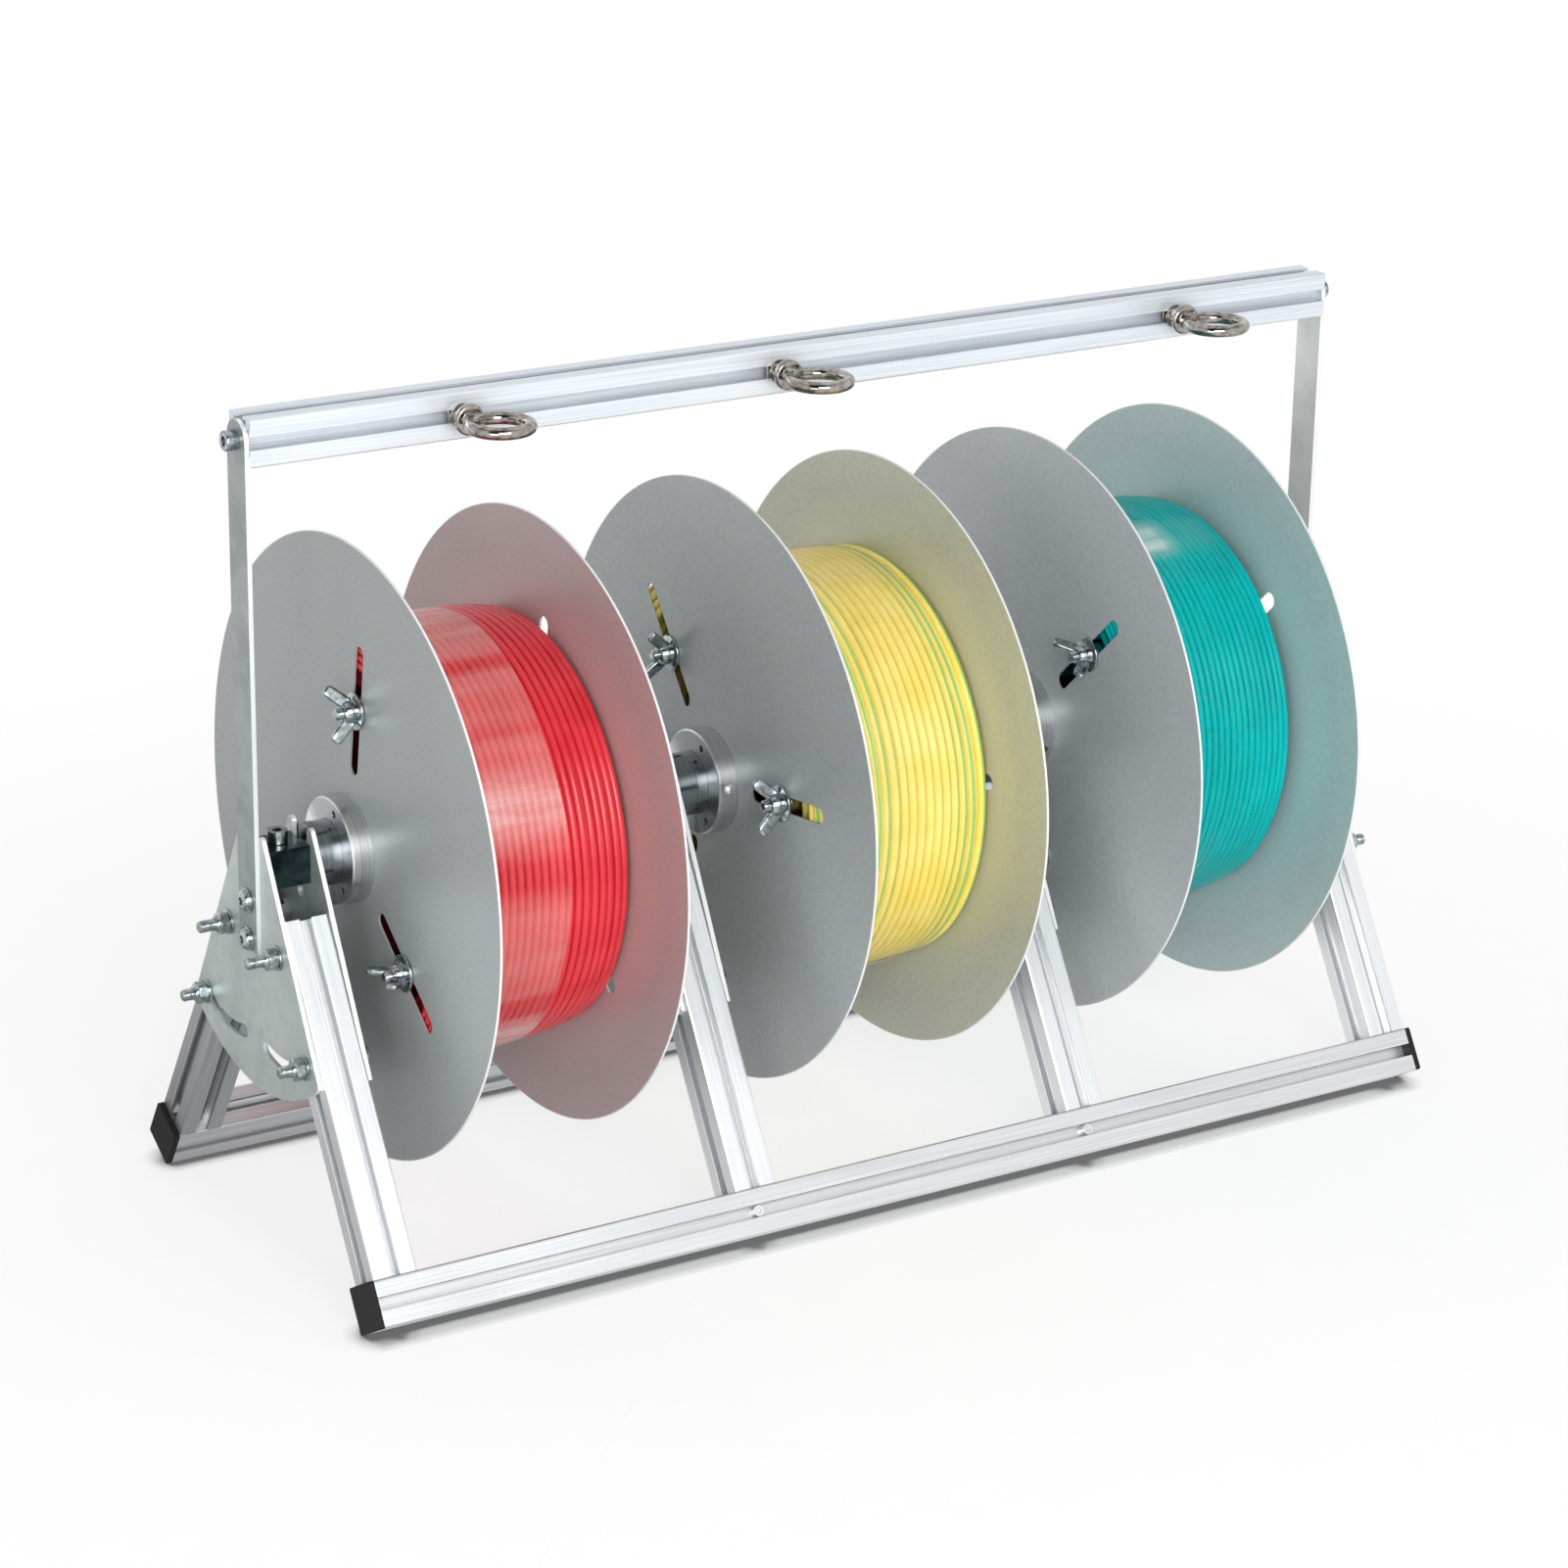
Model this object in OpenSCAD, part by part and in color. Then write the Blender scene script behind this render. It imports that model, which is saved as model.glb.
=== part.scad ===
// Reel stand for three wire reels. X runs along the axle, Y to the rear, Z up.
// The origin is on the floor under the middle of the stand. All lengths in mm.

/* [Frame] */
// Side of the square T-slot profile
profile_s = 30; // [30:1:32]
// Length of the two bottom rails between their end caps
rail_len = 800; // [780:10:820]
// Angle of the legs to the vertical
leg_angle = 31; // [29:0.5:32]
// Distance from a leg's pivot down to the rail
leg_below = 207; // [200:1:215]
// Height of the top rail's middle above the floor
top_z = 532.5; // [520:2.5:560]

/* [Reels] */
// Outer diameter of a flange
flange_d = 400; // [320:10:400]
// Outside width of a reel
reel_w = 130; // [120:1:134]
// Outer diameter of the wound wire
coil_d = 280; // [240:5:285]
// Diameter of one wire
wire_d = 6.1; // [5.9:0.1:6.4]

/* [Plates] */
// Thickness of the side plates and the uprights
plate_t = 3; // [2:0.5:3]
// Radius of a side plate's lower edge about the axle
plate_r = 148; // [144:1:150]
// Width of the arc slots
arc_w = 8.8; // [8.6:0.1:9.2]

/* [Hidden] */
$fn = 64;
eps = 0.01;

// T-slot profile
half_s = profile_s / 2;
corner_r = 1.5;
slot_mouth = 8.2;
slot_lip = 2;
slot_inside = 16.5;
slot_floor = 8;
slot_straight = 5;
slot_depth = 9;
core_bore = 6.8;
tapped_bore = 8.1;
tapped_depth = 26;
cap_t = 4;

// M8 fasteners
m8 = 8;
m8_hole = 8.4;
running_hole = 8.1;
washer_d = 16;
washer_t = 1.6;
nut_af = 13;
nut_t = 6.5;
nut_dome_d = 10.4;
nut_dome_t = 2;
screw_seat = 6.5;
screw_head_t = 4.3;
socket_head_d = 13;
socket_af = 6;

// Frame
leg_above = 19;
leg_slot_bolt = 70;
leg_gap = 0.2;
leg_pitch = (rail_len - profile_s) / 3;
pivot_y = 35;
pivot_drop = 49;
foot_y = half_s - corner_r;
foot_z = leg_below + profile_s - corner_r;
pivot_z = foot_z * cos(leg_angle) + foot_y * sin(leg_angle) + corner_r;
axle_z = pivot_z + pivot_drop;
plate_out = half_s + leg_gap + plate_t;
frame_end = (rail_len - profile_s) / 2 + plate_out;
upright_w = 25;
upright_z0 = 205;
upright_bolt_drops = [22, 47.5];

// Side plate outline: the two straight sides, seen from the axle
side_angle = 28;
side_dist = 24.6;
plate_corner = 8;
tab_r = 3.4;
axle_slot_w = 20.4;
arc_past = 15.6;
// Rounds are a hair larger than tangent, so that they cross the edges they meet
cross = 0.02;

// Axle, blocks and locks
axle_d = 20;
block_w = 30;
block_h = 25;

// Reels
flange_t = 1.5;
reel_shift = [-14, -7.3, -14.5];
reel_phase = [98, 53, 136.5];
ring_d = 70;
ring_t = 14.4;
ring_turn = [107, -8, 20];
sleeve_d = 42;
sleeve_bore = 20.1;
sleeve_relief = 25;
sleeve_fit_len = 25;
sleeve_core_d = 48;
flange_bore = 42.2;
flange_slot_r = [56.5, 133];
flange_slot_w = 11;
coil_end_gap = 7;
wire_turns = 20;
wire_pitch = (reel_w - 2 * flange_t - coil_end_gap) / wire_turns;
end_turns = 6;
end_fall = 6;

// Core pins, clamped at a radius of their own on each reel
pin_r = [95, 89, 96];
pin_tube_r = 9;
pin_gap = 0.1;
pin_washer_d = 24;
pin_washer_t = 2;
pin_stud_out = 15;
wing_reach = 19.5;
wing_top = 19;
wing_w = 8;
wing_t = 3.8;
// How far each wing nut is turned from the radius it sits on, as in the photograph
wing_turn = [[-30, -38, 20], [54, -98, 40], [-109, 60, -20]];
pin_head_d = 18;
pin_head_t = 4.5;
coil_gap = 0.6;

// Eye bolts
eye_x = [-262, -34, 277];
eye_tube_r = 4;
eye_r = 18.5;
eye_yaw = 24;
eye_collar_d = 20;
eye_collar_t = 5;
eye_neck = 3;

function leg_x(i) = -rail_len / 2 + half_s + leg_pitch * i;
function reel_x(r) = leg_pitch * (r - 1) + reel_shift[r];

// Shapes along X: a disc, a hexagon and a flat outline in Y and Z
module rod_x(d, len) {
    rotate([0, 90, 0]) cylinder(d = d, h = len);
}
module hex_x(af, len) {
    rotate([0, 90, 0]) cylinder(d = af / cos(30), h = len, $fn = 6);
}
module plate_x(t) {
    rotate([90, 0, 90]) linear_extrude(t) children();
}

// Profile section with four T-slots and the core bore
module slot_2d() {
    half_in = slot_inside / 2;
    half_floor = slot_floor / 2;
    translate([-slot_mouth / 2, half_s - slot_lip - eps])
        square([slot_mouth, slot_lip + 1]);
    polygon([
        [-half_in, half_s - slot_lip],
        [half_in, half_s - slot_lip],
        [half_in, half_s - slot_straight],
        [half_floor, half_s - slot_depth],
        [-half_floor, half_s - slot_depth],
        [-half_in, half_s - slot_straight]
    ]);
}
module rounded_square_2d(s, r) {
    square([s, s - 2 * r], center = true);
    square([s - 2 * r, s], center = true);
    for (x = [-1, 1], y = [-1, 1])
        translate([x * (s / 2 - r), y * (s / 2 - r)]) circle(r = r);
}
module profile_2d() {
    difference() {
        rounded_square_2d(profile_s, corner_r);
        for (a = [0, 90, 180, 270]) rotate(a) slot_2d();
        circle(d = core_bore);
    }
}

// Rail along X, its middle at the origin, both ends tapped
module rail(len) {
    difference() {
        rotate([90, 0, 90]) linear_extrude(len, center = true) profile_2d();
        for (s = [-1, 1])
            translate([s * (len / 2 - tapped_depth / 2) - tapped_depth / 2 - eps, 0, 0])
                rod_x(tapped_bore, tapped_depth + 2 * eps);
    }
}

// The front frame is drawn upright under its pivot, then leaned out; side -1 front, 1 rear
module at_frame(side) {
    translate([0, side * pivot_y, pivot_z]) rotate([side * leg_angle, 0, 0]) children();
}
module bottom_rail(side) {
    color("gainsboro") at_frame(side) translate([0, 0, -leg_below - half_s])
        difference() {
            rail(rail_len);
            for (i = [0:3])
                translate([leg_x(i), 0, -half_s - eps])
                    cylinder(d = m8_hole, h = profile_s + 2 * eps);
        }
}
module leg(side, i) {
    color("gainsboro") at_frame(side) translate([leg_x(i), 0, 0])
        difference() {
            translate([0, 0, -leg_below]) linear_extrude(leg_below + leg_above) profile_2d();
            translate([-half_s - eps, 0, 0]) rod_x(running_hole, profile_s + 2 * eps);
            translate([-half_s - eps, 0, -leg_slot_bolt])
                rod_x(m8_hole, profile_s + 2 * eps);
            translate([0, 0, -leg_below - eps]) cylinder(d = tapped_bore, h = tapped_depth);
        }
}
module end_caps(side) {
    plug_len = 10;
    color("#202224") at_frame(side) translate([0, 0, -leg_below - half_s])
        for (s = [0, 1]) mirror([s, 0, 0]) translate([rail_len / 2, 0, 0]) {
            plate_x(cap_t) rounded_square_2d(profile_s, corner_r);
            translate([-plug_len, 0, 0]) rod_x(core_bore - 0.2, plug_len + eps);
        }
}

// Screws from below through the rail into the legs, and two locking pins in the outer slot
module leg_screws(side) {
    head_z = -half_s + screw_seat - screw_head_t;
    rail_to_tip = 42;
    color("silver") at_frame(side) translate([0, 0, -leg_below - half_s]) {
        for (i = [0:3]) translate([leg_x(i), 0, head_z]) difference() {
            union() {
                cylinder(d = socket_head_d, h = screw_head_t);
                cylinder(d = m8, h = rail_to_tip);
            }
            translate([0, 0, -eps]) cylinder(d = socket_af / cos(30), h = 3, $fn = 6);
        }
        for (i = [1, 2]) translate([leg_x(i), side * (half_s - slot_depth), 0])
            rotate([-side * 90, 0, 0]) difference() {
                cylinder(d = 7, h = 5);
                translate([0, 0, 2.5]) cylinder(d = 4 / cos(30), h = 3, $fn = 6);
            }
    }
}

// Lock nut on its washer, from x = 0 to the left
module lock_nut() {
    translate([-washer_t, 0, 0]) rod_x(washer_d, washer_t);
    translate([-washer_t - nut_t, 0, 0]) hex_x(nut_af, nut_t);
    translate([-washer_t - nut_t - nut_dome_t, 0, 0]) rod_x(nut_dome_d, nut_dome_t + eps);
}

// Cross bolt through a frame: nut on the left, head and washer on the right
module cross_bolt(left_x, right_x, tip) {
    bolt_head = 3.7;
    translate([left_x, 0, 0]) lock_nut();
    translate([left_x - tip, 0, 0]) rod_x(m8, right_x - left_x + tip + eps);
    translate([right_x, 0, 0]) rod_x(washer_d, washer_t);
    translate([right_x + washer_t, 0, 0]) hex_x(nut_af, bolt_head);
}
module frame_cross_bolt(i, tip) {
    if (i < 3) translate([leg_x(i), 0, 0]) cross_bolt(-plate_out, plate_out, tip);
    else translate([leg_x(i), 0, 0]) mirror([1, 0, 0]) cross_bolt(-plate_out, plate_out, tip);
}
module pivot_bolts() {
    pivot_tip = 21.5;
    color("silver") for (s = [-1, 1], i = [0:3])
        translate([0, s * pivot_y, pivot_z]) frame_cross_bolt(i, pivot_tip);
}
module slot_bolts(side) {
    slot_tip = 18;
    color("silver") at_frame(side) translate([0, 0, -leg_slot_bolt]) for (i = [0:3])
        translate([leg_x(i), 0, 0]) slot_bolt(i, slot_tip);
}
// The slot bolt clamps the plates on the leg; its washers stand just off the plates
module slot_bolt(i, tip) {
    off = plate_out + 0.1;
    bolt_head = 3.7;
    mirror([i < 3 ? 0 : 1, 0, 0]) {
        translate([-off, 0, 0]) lock_nut();
        translate([-off - tip, 0, 0]) rod_x(m8, 2 * off + tip + eps);
        translate([off, 0, 0]) rod_x(washer_d, washer_t);
        translate([off + washer_t, 0, 0]) hex_x(nut_af, bolt_head);
        for (s = [0, 1]) mirror([s, 0, 0])
            translate([-half_s + slot_lip, 0, 0]) rod_x(nut_af, screw_seat - slot_lip);
    }
}

// Side plate: fan outline about the axle with two arc slots and the open axle slot
module side_wedge_2d() {
    c = cos(side_angle);
    s = sin(side_angle);
    far = plate_r + 10;
    tab = [axle_slot_w / 2 + tab_r, -(axle_slot_w / 2 + tab_r) * c / s + (side_dist - tab_r) / s];
    corner = [(side_dist - plate_corner) * c, (side_dist - plate_corner) * s]
        + sqrt(pow(plate_r - plate_corner, 2) - pow(side_dist - plate_corner, 2)) * [s, -c];
    out = corner * plate_r / norm(corner);
    difference() {
        intersection() {
            circle(r = plate_r, $fn = 128);
            polygon([
                [0, tab[1]], tab, tab + tab_r * [c, s],
                side_dist * [c, s] + far * [s, -c],
                [0, -far]
            ]);
        }
        polygon([corner, corner + plate_corner * [c, s], 1.1 * out + 2 * [c, s], out]);
    }
    translate(corner) circle(r = plate_corner + cross);
    translate(tab) circle(r = tab_r + cross);
}
module arc_slot_2d() {
    far = 3 * leg_slot_bolt;
    translate([pivot_y, -pivot_drop]) {
        intersection() {
            difference() {
                circle(r = leg_slot_bolt + arc_w / 2, $fn = 96);
                circle(r = leg_slot_bolt - arc_w / 2, $fn = 96);
            }
            polygon([
                [0, 0],
                far * [sin(leg_angle), -cos(leg_angle)],
                far * [-sin(arc_past), -cos(arc_past)]
            ]);
        }
        for (a = [leg_angle, -arc_past])
            translate(leg_slot_bolt * [sin(a), -cos(a)]) circle(d = arc_w + cross);
        circle(d = m8_hole);
    }
}
module side_plate_2d() {
    difference() {
        for (s = [0, 1]) mirror([s, 0]) side_wedge_2d();
        for (s = [0, 1]) mirror([s, 0]) arc_slot_2d();
        circle(d = axle_slot_w);
        translate([-axle_slot_w / 2, 0]) square([axle_slot_w, 60]);
        for (drop = upright_bolt_drops) translate([0, -drop]) circle(d = m8_hole);
    }
}
module side_plate(k) {
    i = floor(k / 2);
    x = k % 2 == 0 ? -plate_out : plate_out - plate_t;
    color("#b5bfba") translate([leg_x(i) + x, 0, axle_z]) plate_x(plate_t) side_plate_2d();
}

// Upright: flat bar with a rounded top end
module upright(s) {
    bolts = [for (d = upright_bolt_drops) axle_z - d];
    color("#b5bfba") translate([s * (frame_end + plate_t / 2) - plate_t / 2, 0, 0])
        plate_x(plate_t) difference() {
            union() {
                translate([-upright_w / 2, upright_z0]) square([upright_w, top_z - upright_z0]);
                translate([0, top_z]) circle(d = upright_w);
            }
            for (z = concat(bolts, [top_z])) translate([0, z]) circle(d = m8_hole);
        }
}
module top_rail() {
    color("gainsboro") translate([0, 0, top_z]) rail(2 * frame_end);
}

// Upright bolts with nuts between the plates, and socket screws into the top rail
module upright_screws() {
    screw_in = 22;
    screw_head = 8;
    nut_x = plate_t + plate_t;
    color("silver") for (s = [0, 1]) mirror([s, 0, 0]) translate([-frame_end - plate_t, 0, 0]) {
        for (drop = upright_bolt_drops) translate([0, 0, axle_z - drop]) {
            translate([-washer_t, 0, 0]) rod_x(washer_d, washer_t);
            translate([-washer_t - 3.2, 0, 0]) rod_x(14, 3.2 + eps);
            rod_x(m8, nut_x + nut_t + 4);
            translate([nut_x, 0, 0]) hex_x(nut_af, nut_t);
        }
        translate([0, 0, top_z]) difference() {
            union() {
                translate([-screw_head, 0, 0]) rod_x(socket_head_d, screw_head);
                rod_x(m8, screw_in);
            }
            translate([-screw_head - eps, 0, 0]) hex_x(socket_af, 4);
        }
    }
}

// Axle with chamfered ends, and the bored blocks that carry it between the plates
module axle() {
    chamfer = 1.5;
    half = frame_end;
    color("#c8ccd0") translate([0, 0, axle_z]) rotate([0, 90, 0]) rotate_extrude() polygon([
        [0, -half],
        [axle_d / 2 - chamfer, -half],
        [axle_d / 2, -half + chamfer],
        [axle_d / 2, half - chamfer],
        [axle_d / 2 - chamfer, half],
        [0, half]
    ]);
}
module axle_blocks() {
    w = profile_s + 2 * leg_gap;
    color("#2c3236") for (i = [0:3]) translate([leg_x(i) - w / 2, 0, axle_z]) difference() {
        plate_x(w) square([block_w, block_h], center = true);
        translate([-eps, 0, 0]) rod_x(axle_slot_w, w + 2 * eps);
        if (i == 0 || i == 3) translate([w / 2, 0, 0]) cylinder(d = running_hole, h = block_h);
    }
}

// Socket screw that locks the axle in an end block
module axle_lock(i) {
    tip_gap = 0.4;
    head_gap = 0.3;
    head_h = 8;
    tip_z = axle_d / 2 + tip_gap;
    head_z = block_h / 2 + head_gap;
    color("silver") translate([leg_x(i), 0, axle_z]) difference() {
        union() {
            translate([0, 0, tip_z]) cylinder(d = m8, h = head_z - tip_z + eps);
            translate([0, 0, head_z]) cylinder(d = socket_head_d, h = head_h);
        }
        translate([0, 0, head_z + head_h - 4]) cylinder(d = socket_af / cos(30), h = 5, $fn = 6);
    }
}

// Wing nut outline: two bars that rise from the hub to both sides, with rounded ends
module wings_2d() {
    foot = [4, 2];
    tip = [wing_reach - wing_w / 2 * 0.7, wing_top - wing_w / 2 * 0.7];
    len = norm(tip - foot);
    r = 1.8;
    above = 0.5;
    intersection() {
        for (s = [0, 1]) mirror([s, 0])
            translate(foot) rotate(atan2(tip[1] - foot[1], tip[0] - foot[0])) {
                translate([-3, -wing_w / 2]) square([len + 3 - r, wing_w]);
                translate([0, -wing_w / 2 + r]) square([len, wing_w - 2 * r]);
                for (y = [-1, 1]) translate([len - r, y * (wing_w / 2 - r)]) circle(r = r);
            }
        translate([-wing_reach - wing_w, above]) square(2 * (wing_reach + wing_w));
    }
}

// Reels
module at_reel(r) {
    translate([reel_x(r), 0, axle_z]) rotate([reel_phase[r], 0, 0]) children();
}
module flange_2d() {
    difference() {
        circle(d = flange_d, $fn = 180);
        circle(d = flange_bore);
        for (a = [0, 120, 240]) rotate(a) {
            translate([flange_slot_r[0], -flange_slot_w / 2])
                square([flange_slot_r[1] - flange_slot_r[0], flange_slot_w]);
            for (x = flange_slot_r) translate([x, 0]) circle(d = flange_slot_w);
        }
    }
}
module flange(r, s) {
    x = s < 0 ? -reel_w / 2 : reel_w / 2 - flange_t;
    color("#9a9e9c") at_reel(r) translate([x, 0, 0]) plate_x(flange_t) flange_2d();
}
// Clamp ring: axial holes between the slots and one sunk set screw in the rim
module clamp_ring() {
    hole_d = 5;
    hole_r = 28;
    screw_d = 7;
    edge = 1;
    difference() {
        rotate([0, 90, 0]) rotate_extrude() polygon([
            [flange_bore / 2, 0],
            [ring_d / 2, 0],
            [ring_d / 2, ring_t - edge],
            [ring_d / 2 - edge, ring_t],
            [flange_bore / 2, ring_t]
        ]);
        for (a = [0, 120, 240]) rotate([a, 0, 0])
            translate([-eps, hole_r, 0]) rod_x(hole_d, ring_t + 2 * eps);
        translate([ring_t / 2, 0, 0]) rotate([90, 0, 0]) {
            translate([0, 0, flange_bore / 2 + 7]) cylinder(d = screw_d, h = ring_d);
            translate([0, 0, flange_bore / 2 + 4]) cylinder(d = 4 / cos(30), h = 4, $fn = 6);
        }
    }
}
module hub_rings(r) {
    color("gainsboro") translate([reel_x(r), 0, axle_z]) for (s = [0, 1]) mirror([s, 0, 0])
        rotate([ring_turn[r], 0, 0]) translate([reel_w / 2, 0, 0]) clamp_ring();
}
// Sleeve between two frames: ends run on the axle, the thick middle spaces the flanges
module sleeve(r) {
    x0 = leg_x(r) + plate_out + 0.5 - reel_x(r);
    x1 = leg_x(r + 1) - plate_out - 0.5 - reel_x(r);
    half = reel_w / 2 - flange_t;
    fit = sleeve_bore / 2;
    relief = sleeve_relief / 2;
    color("silver") translate([reel_x(r), 0, axle_z]) rotate([0, 90, 0])
        rotate_extrude() polygon([
            [fit, x0],
            [sleeve_d / 2, x0],
            [sleeve_d / 2, -half],
            [sleeve_core_d / 2, -half],
            [sleeve_core_d / 2, half],
            [sleeve_d / 2, half],
            [sleeve_d / 2, x1],
            [fit, x1],
            [fit, x1 - sleeve_fit_len],
            [relief, x1 - sleeve_fit_len],
            [relief, x0 + sleeve_fit_len],
            [fit, x0 + sleeve_fit_len]
        ]);
}

// Wound wire: the outer and the inner layer show their turns, the last turns fall away
function turn_x(k) = wire_d / 2 + 0.05 + k * wire_pitch;
function fall(k) = k < wire_turns - end_turns
    ? 0 : end_fall * pow((k - wire_turns + end_turns + 1) / end_turns, 2);
module coil(r) {
    colours = ["#e03038", "#e8d23c", "#00b0a0"];
    wire_r = wire_d / 2;
    top = coil_d / 2 - wire_r;
    low = pin_r[r] + pin_tube_r + coil_gap + wire_r;
    color(colours[r]) translate([reel_x(r) - reel_w / 2 + flange_t, 0, axle_z])
        rotate([0, 90, 0]) rotate_extrude($fn = 128) {
            polygon(concat(
                [[low, 0]],
                [[top, 0]],
                [for (k = [0:wire_turns - 1]) [top - fall(k), turn_x(k)]],
                [[low, turn_x(wire_turns - 1)]]
            ));
            for (k = [0:wire_turns - 1]) {
                translate([top - fall(k), turn_x(k)]) circle(r = wire_r, $fn = 24);
                translate([low, turn_x(k)]) circle(r = wire_r, $fn = 24);
            }
        }
}

// Core pin: tube between the flanges on a stud, round head right, wing nut left
module core_pin(r, k) {
    half_out = reel_w / 2 + pin_gap;
    half_in = reel_w / 2 - flange_t - pin_gap;
    wing_z = half_out + pin_washer_t;
    color("silver") at_reel(r) rotate([120 * k, 0, 0]) translate([0, pin_r[r], 0]) {
        translate([-half_in, 0, 0]) rod_x(2 * pin_tube_r, 2 * half_in);
        translate([-half_out - pin_stud_out, 0, 0]) rod_x(m8, 2 * half_out + pin_stud_out);
        translate([half_out - eps, 0, 0]) rotate([0, 90, 0])
            cylinder(d1 = pin_head_d, d2 = pin_head_d - 3, h = pin_head_t);
        translate([-wing_z, 0, 0]) rod_x(pin_washer_d, pin_washer_t);
        translate([-wing_z, 0, 0]) rotate([wing_turn[r][k] - 90, 0, 0]) rotate([0, -90, 0]) {
            cylinder(d1 = 15, d2 = 12, h = 8);
            rotate([90, 0, 0]) linear_extrude(wing_t, center = true) wings_2d();
        }
    }
}

// Eye bolt on the front of the top rail, with slot nut, washer and hexagon nut
module eye_bolt(k) {
    slot_nut_t = 4;
    nut_w = slot_inside - 1.5;
    collar_y = washer_t + nut_t;
    ring_y = collar_y + eye_collar_t + eye_neck + eye_r;
    color("silver") translate([eye_x[k], -half_s, top_z]) {
        rotate([90, 0, 0]) {
            translate([0, 0, 0.1]) cylinder(d = washer_d, h = washer_t);
            translate([0, 0, washer_t]) cylinder(d = nut_af / cos(30), h = nut_t, $fn = 6);
            translate([0, 0, collar_y]) cylinder(d = eye_collar_d, h = eye_collar_t);
            translate([0, 0, -slot_depth + 1]) cylinder(d = m8 - 0.4, h = slot_depth + collar_y);
            translate([-nut_w / 2, -nut_w / 2 + 0.5, -slot_lip - 0.2 - 2.6])
                cube([nut_w, nut_w - 1, 2.6]);
        }
        translate([0, -collar_y - eye_collar_t / 2, 0]) rotate([0, 0, eye_yaw]) {
            rotate([90, 0, 0]) cylinder(d = 10, h = eye_collar_t / 2 + eye_neck + 4);
            translate([0, -ring_y + collar_y + eye_collar_t / 2, 0])
                rotate_extrude($fn = 96) translate([eye_r, 0]) circle(r = eye_tube_r, $fn = 32);
        }
    }
}

side_plate(0);  // side_plate_1
side_plate(1);  // side_plate_2
side_plate(2);  // side_plate_3
side_plate(3);  // side_plate_4
side_plate(4);  // side_plate_5
side_plate(5);  // side_plate_6
side_plate(6);  // side_plate_7
side_plate(7);  // side_plate_8
upright(-1);  // upright_left
upright(1);  // upright_right
top_rail();
axle();
axle_blocks();
pivot_bolts();
upright_screws();
bottom_rail(-1);  // front_rail
leg(-1, 0);  // front_leg_1
leg(-1, 1);  // front_leg_2
leg(-1, 2);  // front_leg_3
leg(-1, 3);  // front_leg_4
end_caps(-1);  // front_end_caps
slot_bolts(-1);  // front_slot_bolts
leg_screws(-1);  // front_leg_screws
bottom_rail(1);  // rear_rail
leg(1, 0);  // rear_leg_1
leg(1, 1);  // rear_leg_2
leg(1, 2);  // rear_leg_3
leg(1, 3);  // rear_leg_4
end_caps(1);  // rear_end_caps
slot_bolts(1);  // rear_slot_bolts
leg_screws(1);  // rear_leg_screws
eye_bolt(0);  // eye_bolt_1
eye_bolt(1);  // eye_bolt_2
eye_bolt(2);  // eye_bolt_3
axle_lock(0);  // axle_lock_left
axle_lock(3);  // axle_lock_right
flange(0, -1);  // flange_left_1
flange(0, 1);  // flange_right_1
hub_rings(0);  // hub_rings_1
sleeve(0);  // sleeve_1
coil(0);  // coil_1
flange(1, -1);  // flange_left_2
flange(1, 1);  // flange_right_2
hub_rings(1);  // hub_rings_2
sleeve(1);  // sleeve_2
coil(1);  // coil_2
flange(2, -1);  // flange_left_3
flange(2, 1);  // flange_right_3
hub_rings(2);  // hub_rings_3
sleeve(2);  // sleeve_3
coil(2);  // coil_3
core_pin(0, 0);  // core_pin_1_1
core_pin(0, 1);  // core_pin_1_2
core_pin(0, 2);  // core_pin_1_3
core_pin(1, 0);  // core_pin_2_1
core_pin(1, 1);  // core_pin_2_2
core_pin(1, 2);  // core_pin_2_3
core_pin(2, 0);  // core_pin_3_1
core_pin(2, 1);  // core_pin_3_2
core_pin(2, 2);  // core_pin_3_3
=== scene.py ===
# %% [markdown]
# # A reel stand for three wire reels
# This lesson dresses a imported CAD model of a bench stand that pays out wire. The frame stays as the
# CAD solids. The wound wire, the stretch film, the wing nuts, the lock nuts and the ring bolts are
# made here as surfaces computed with numpy, and every material is built from shader nodes.
# Lengths are metres, X runs along the axle, Y to the rear and Z up.

# %% Setup
import math

import bmesh
import bpy
import numpy as np
from mathutils import Matrix, Vector


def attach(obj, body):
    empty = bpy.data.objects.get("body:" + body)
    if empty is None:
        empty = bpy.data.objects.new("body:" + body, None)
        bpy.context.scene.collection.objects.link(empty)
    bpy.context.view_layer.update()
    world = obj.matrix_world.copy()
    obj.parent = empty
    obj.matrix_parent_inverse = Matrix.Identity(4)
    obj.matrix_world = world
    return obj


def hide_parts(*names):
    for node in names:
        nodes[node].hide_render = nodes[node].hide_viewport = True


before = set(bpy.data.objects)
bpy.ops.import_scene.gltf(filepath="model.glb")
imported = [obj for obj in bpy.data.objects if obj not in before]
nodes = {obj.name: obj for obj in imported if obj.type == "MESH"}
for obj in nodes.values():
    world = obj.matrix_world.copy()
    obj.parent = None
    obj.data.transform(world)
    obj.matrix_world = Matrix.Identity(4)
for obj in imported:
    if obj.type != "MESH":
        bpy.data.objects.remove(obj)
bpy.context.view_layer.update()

MM = 0.001
TAU = 2 * math.pi


# %% [markdown]
# ## Sizes shared with the CAD model
# The dressing sits on solids that exist already, so it uses the same few numbers: where the axle
# is, how the frames lean, where each reel stands and how far it is turned. The height of the pivot
# follows from the lean, because the rounded corner of the bottom rail stands on the floor.

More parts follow.
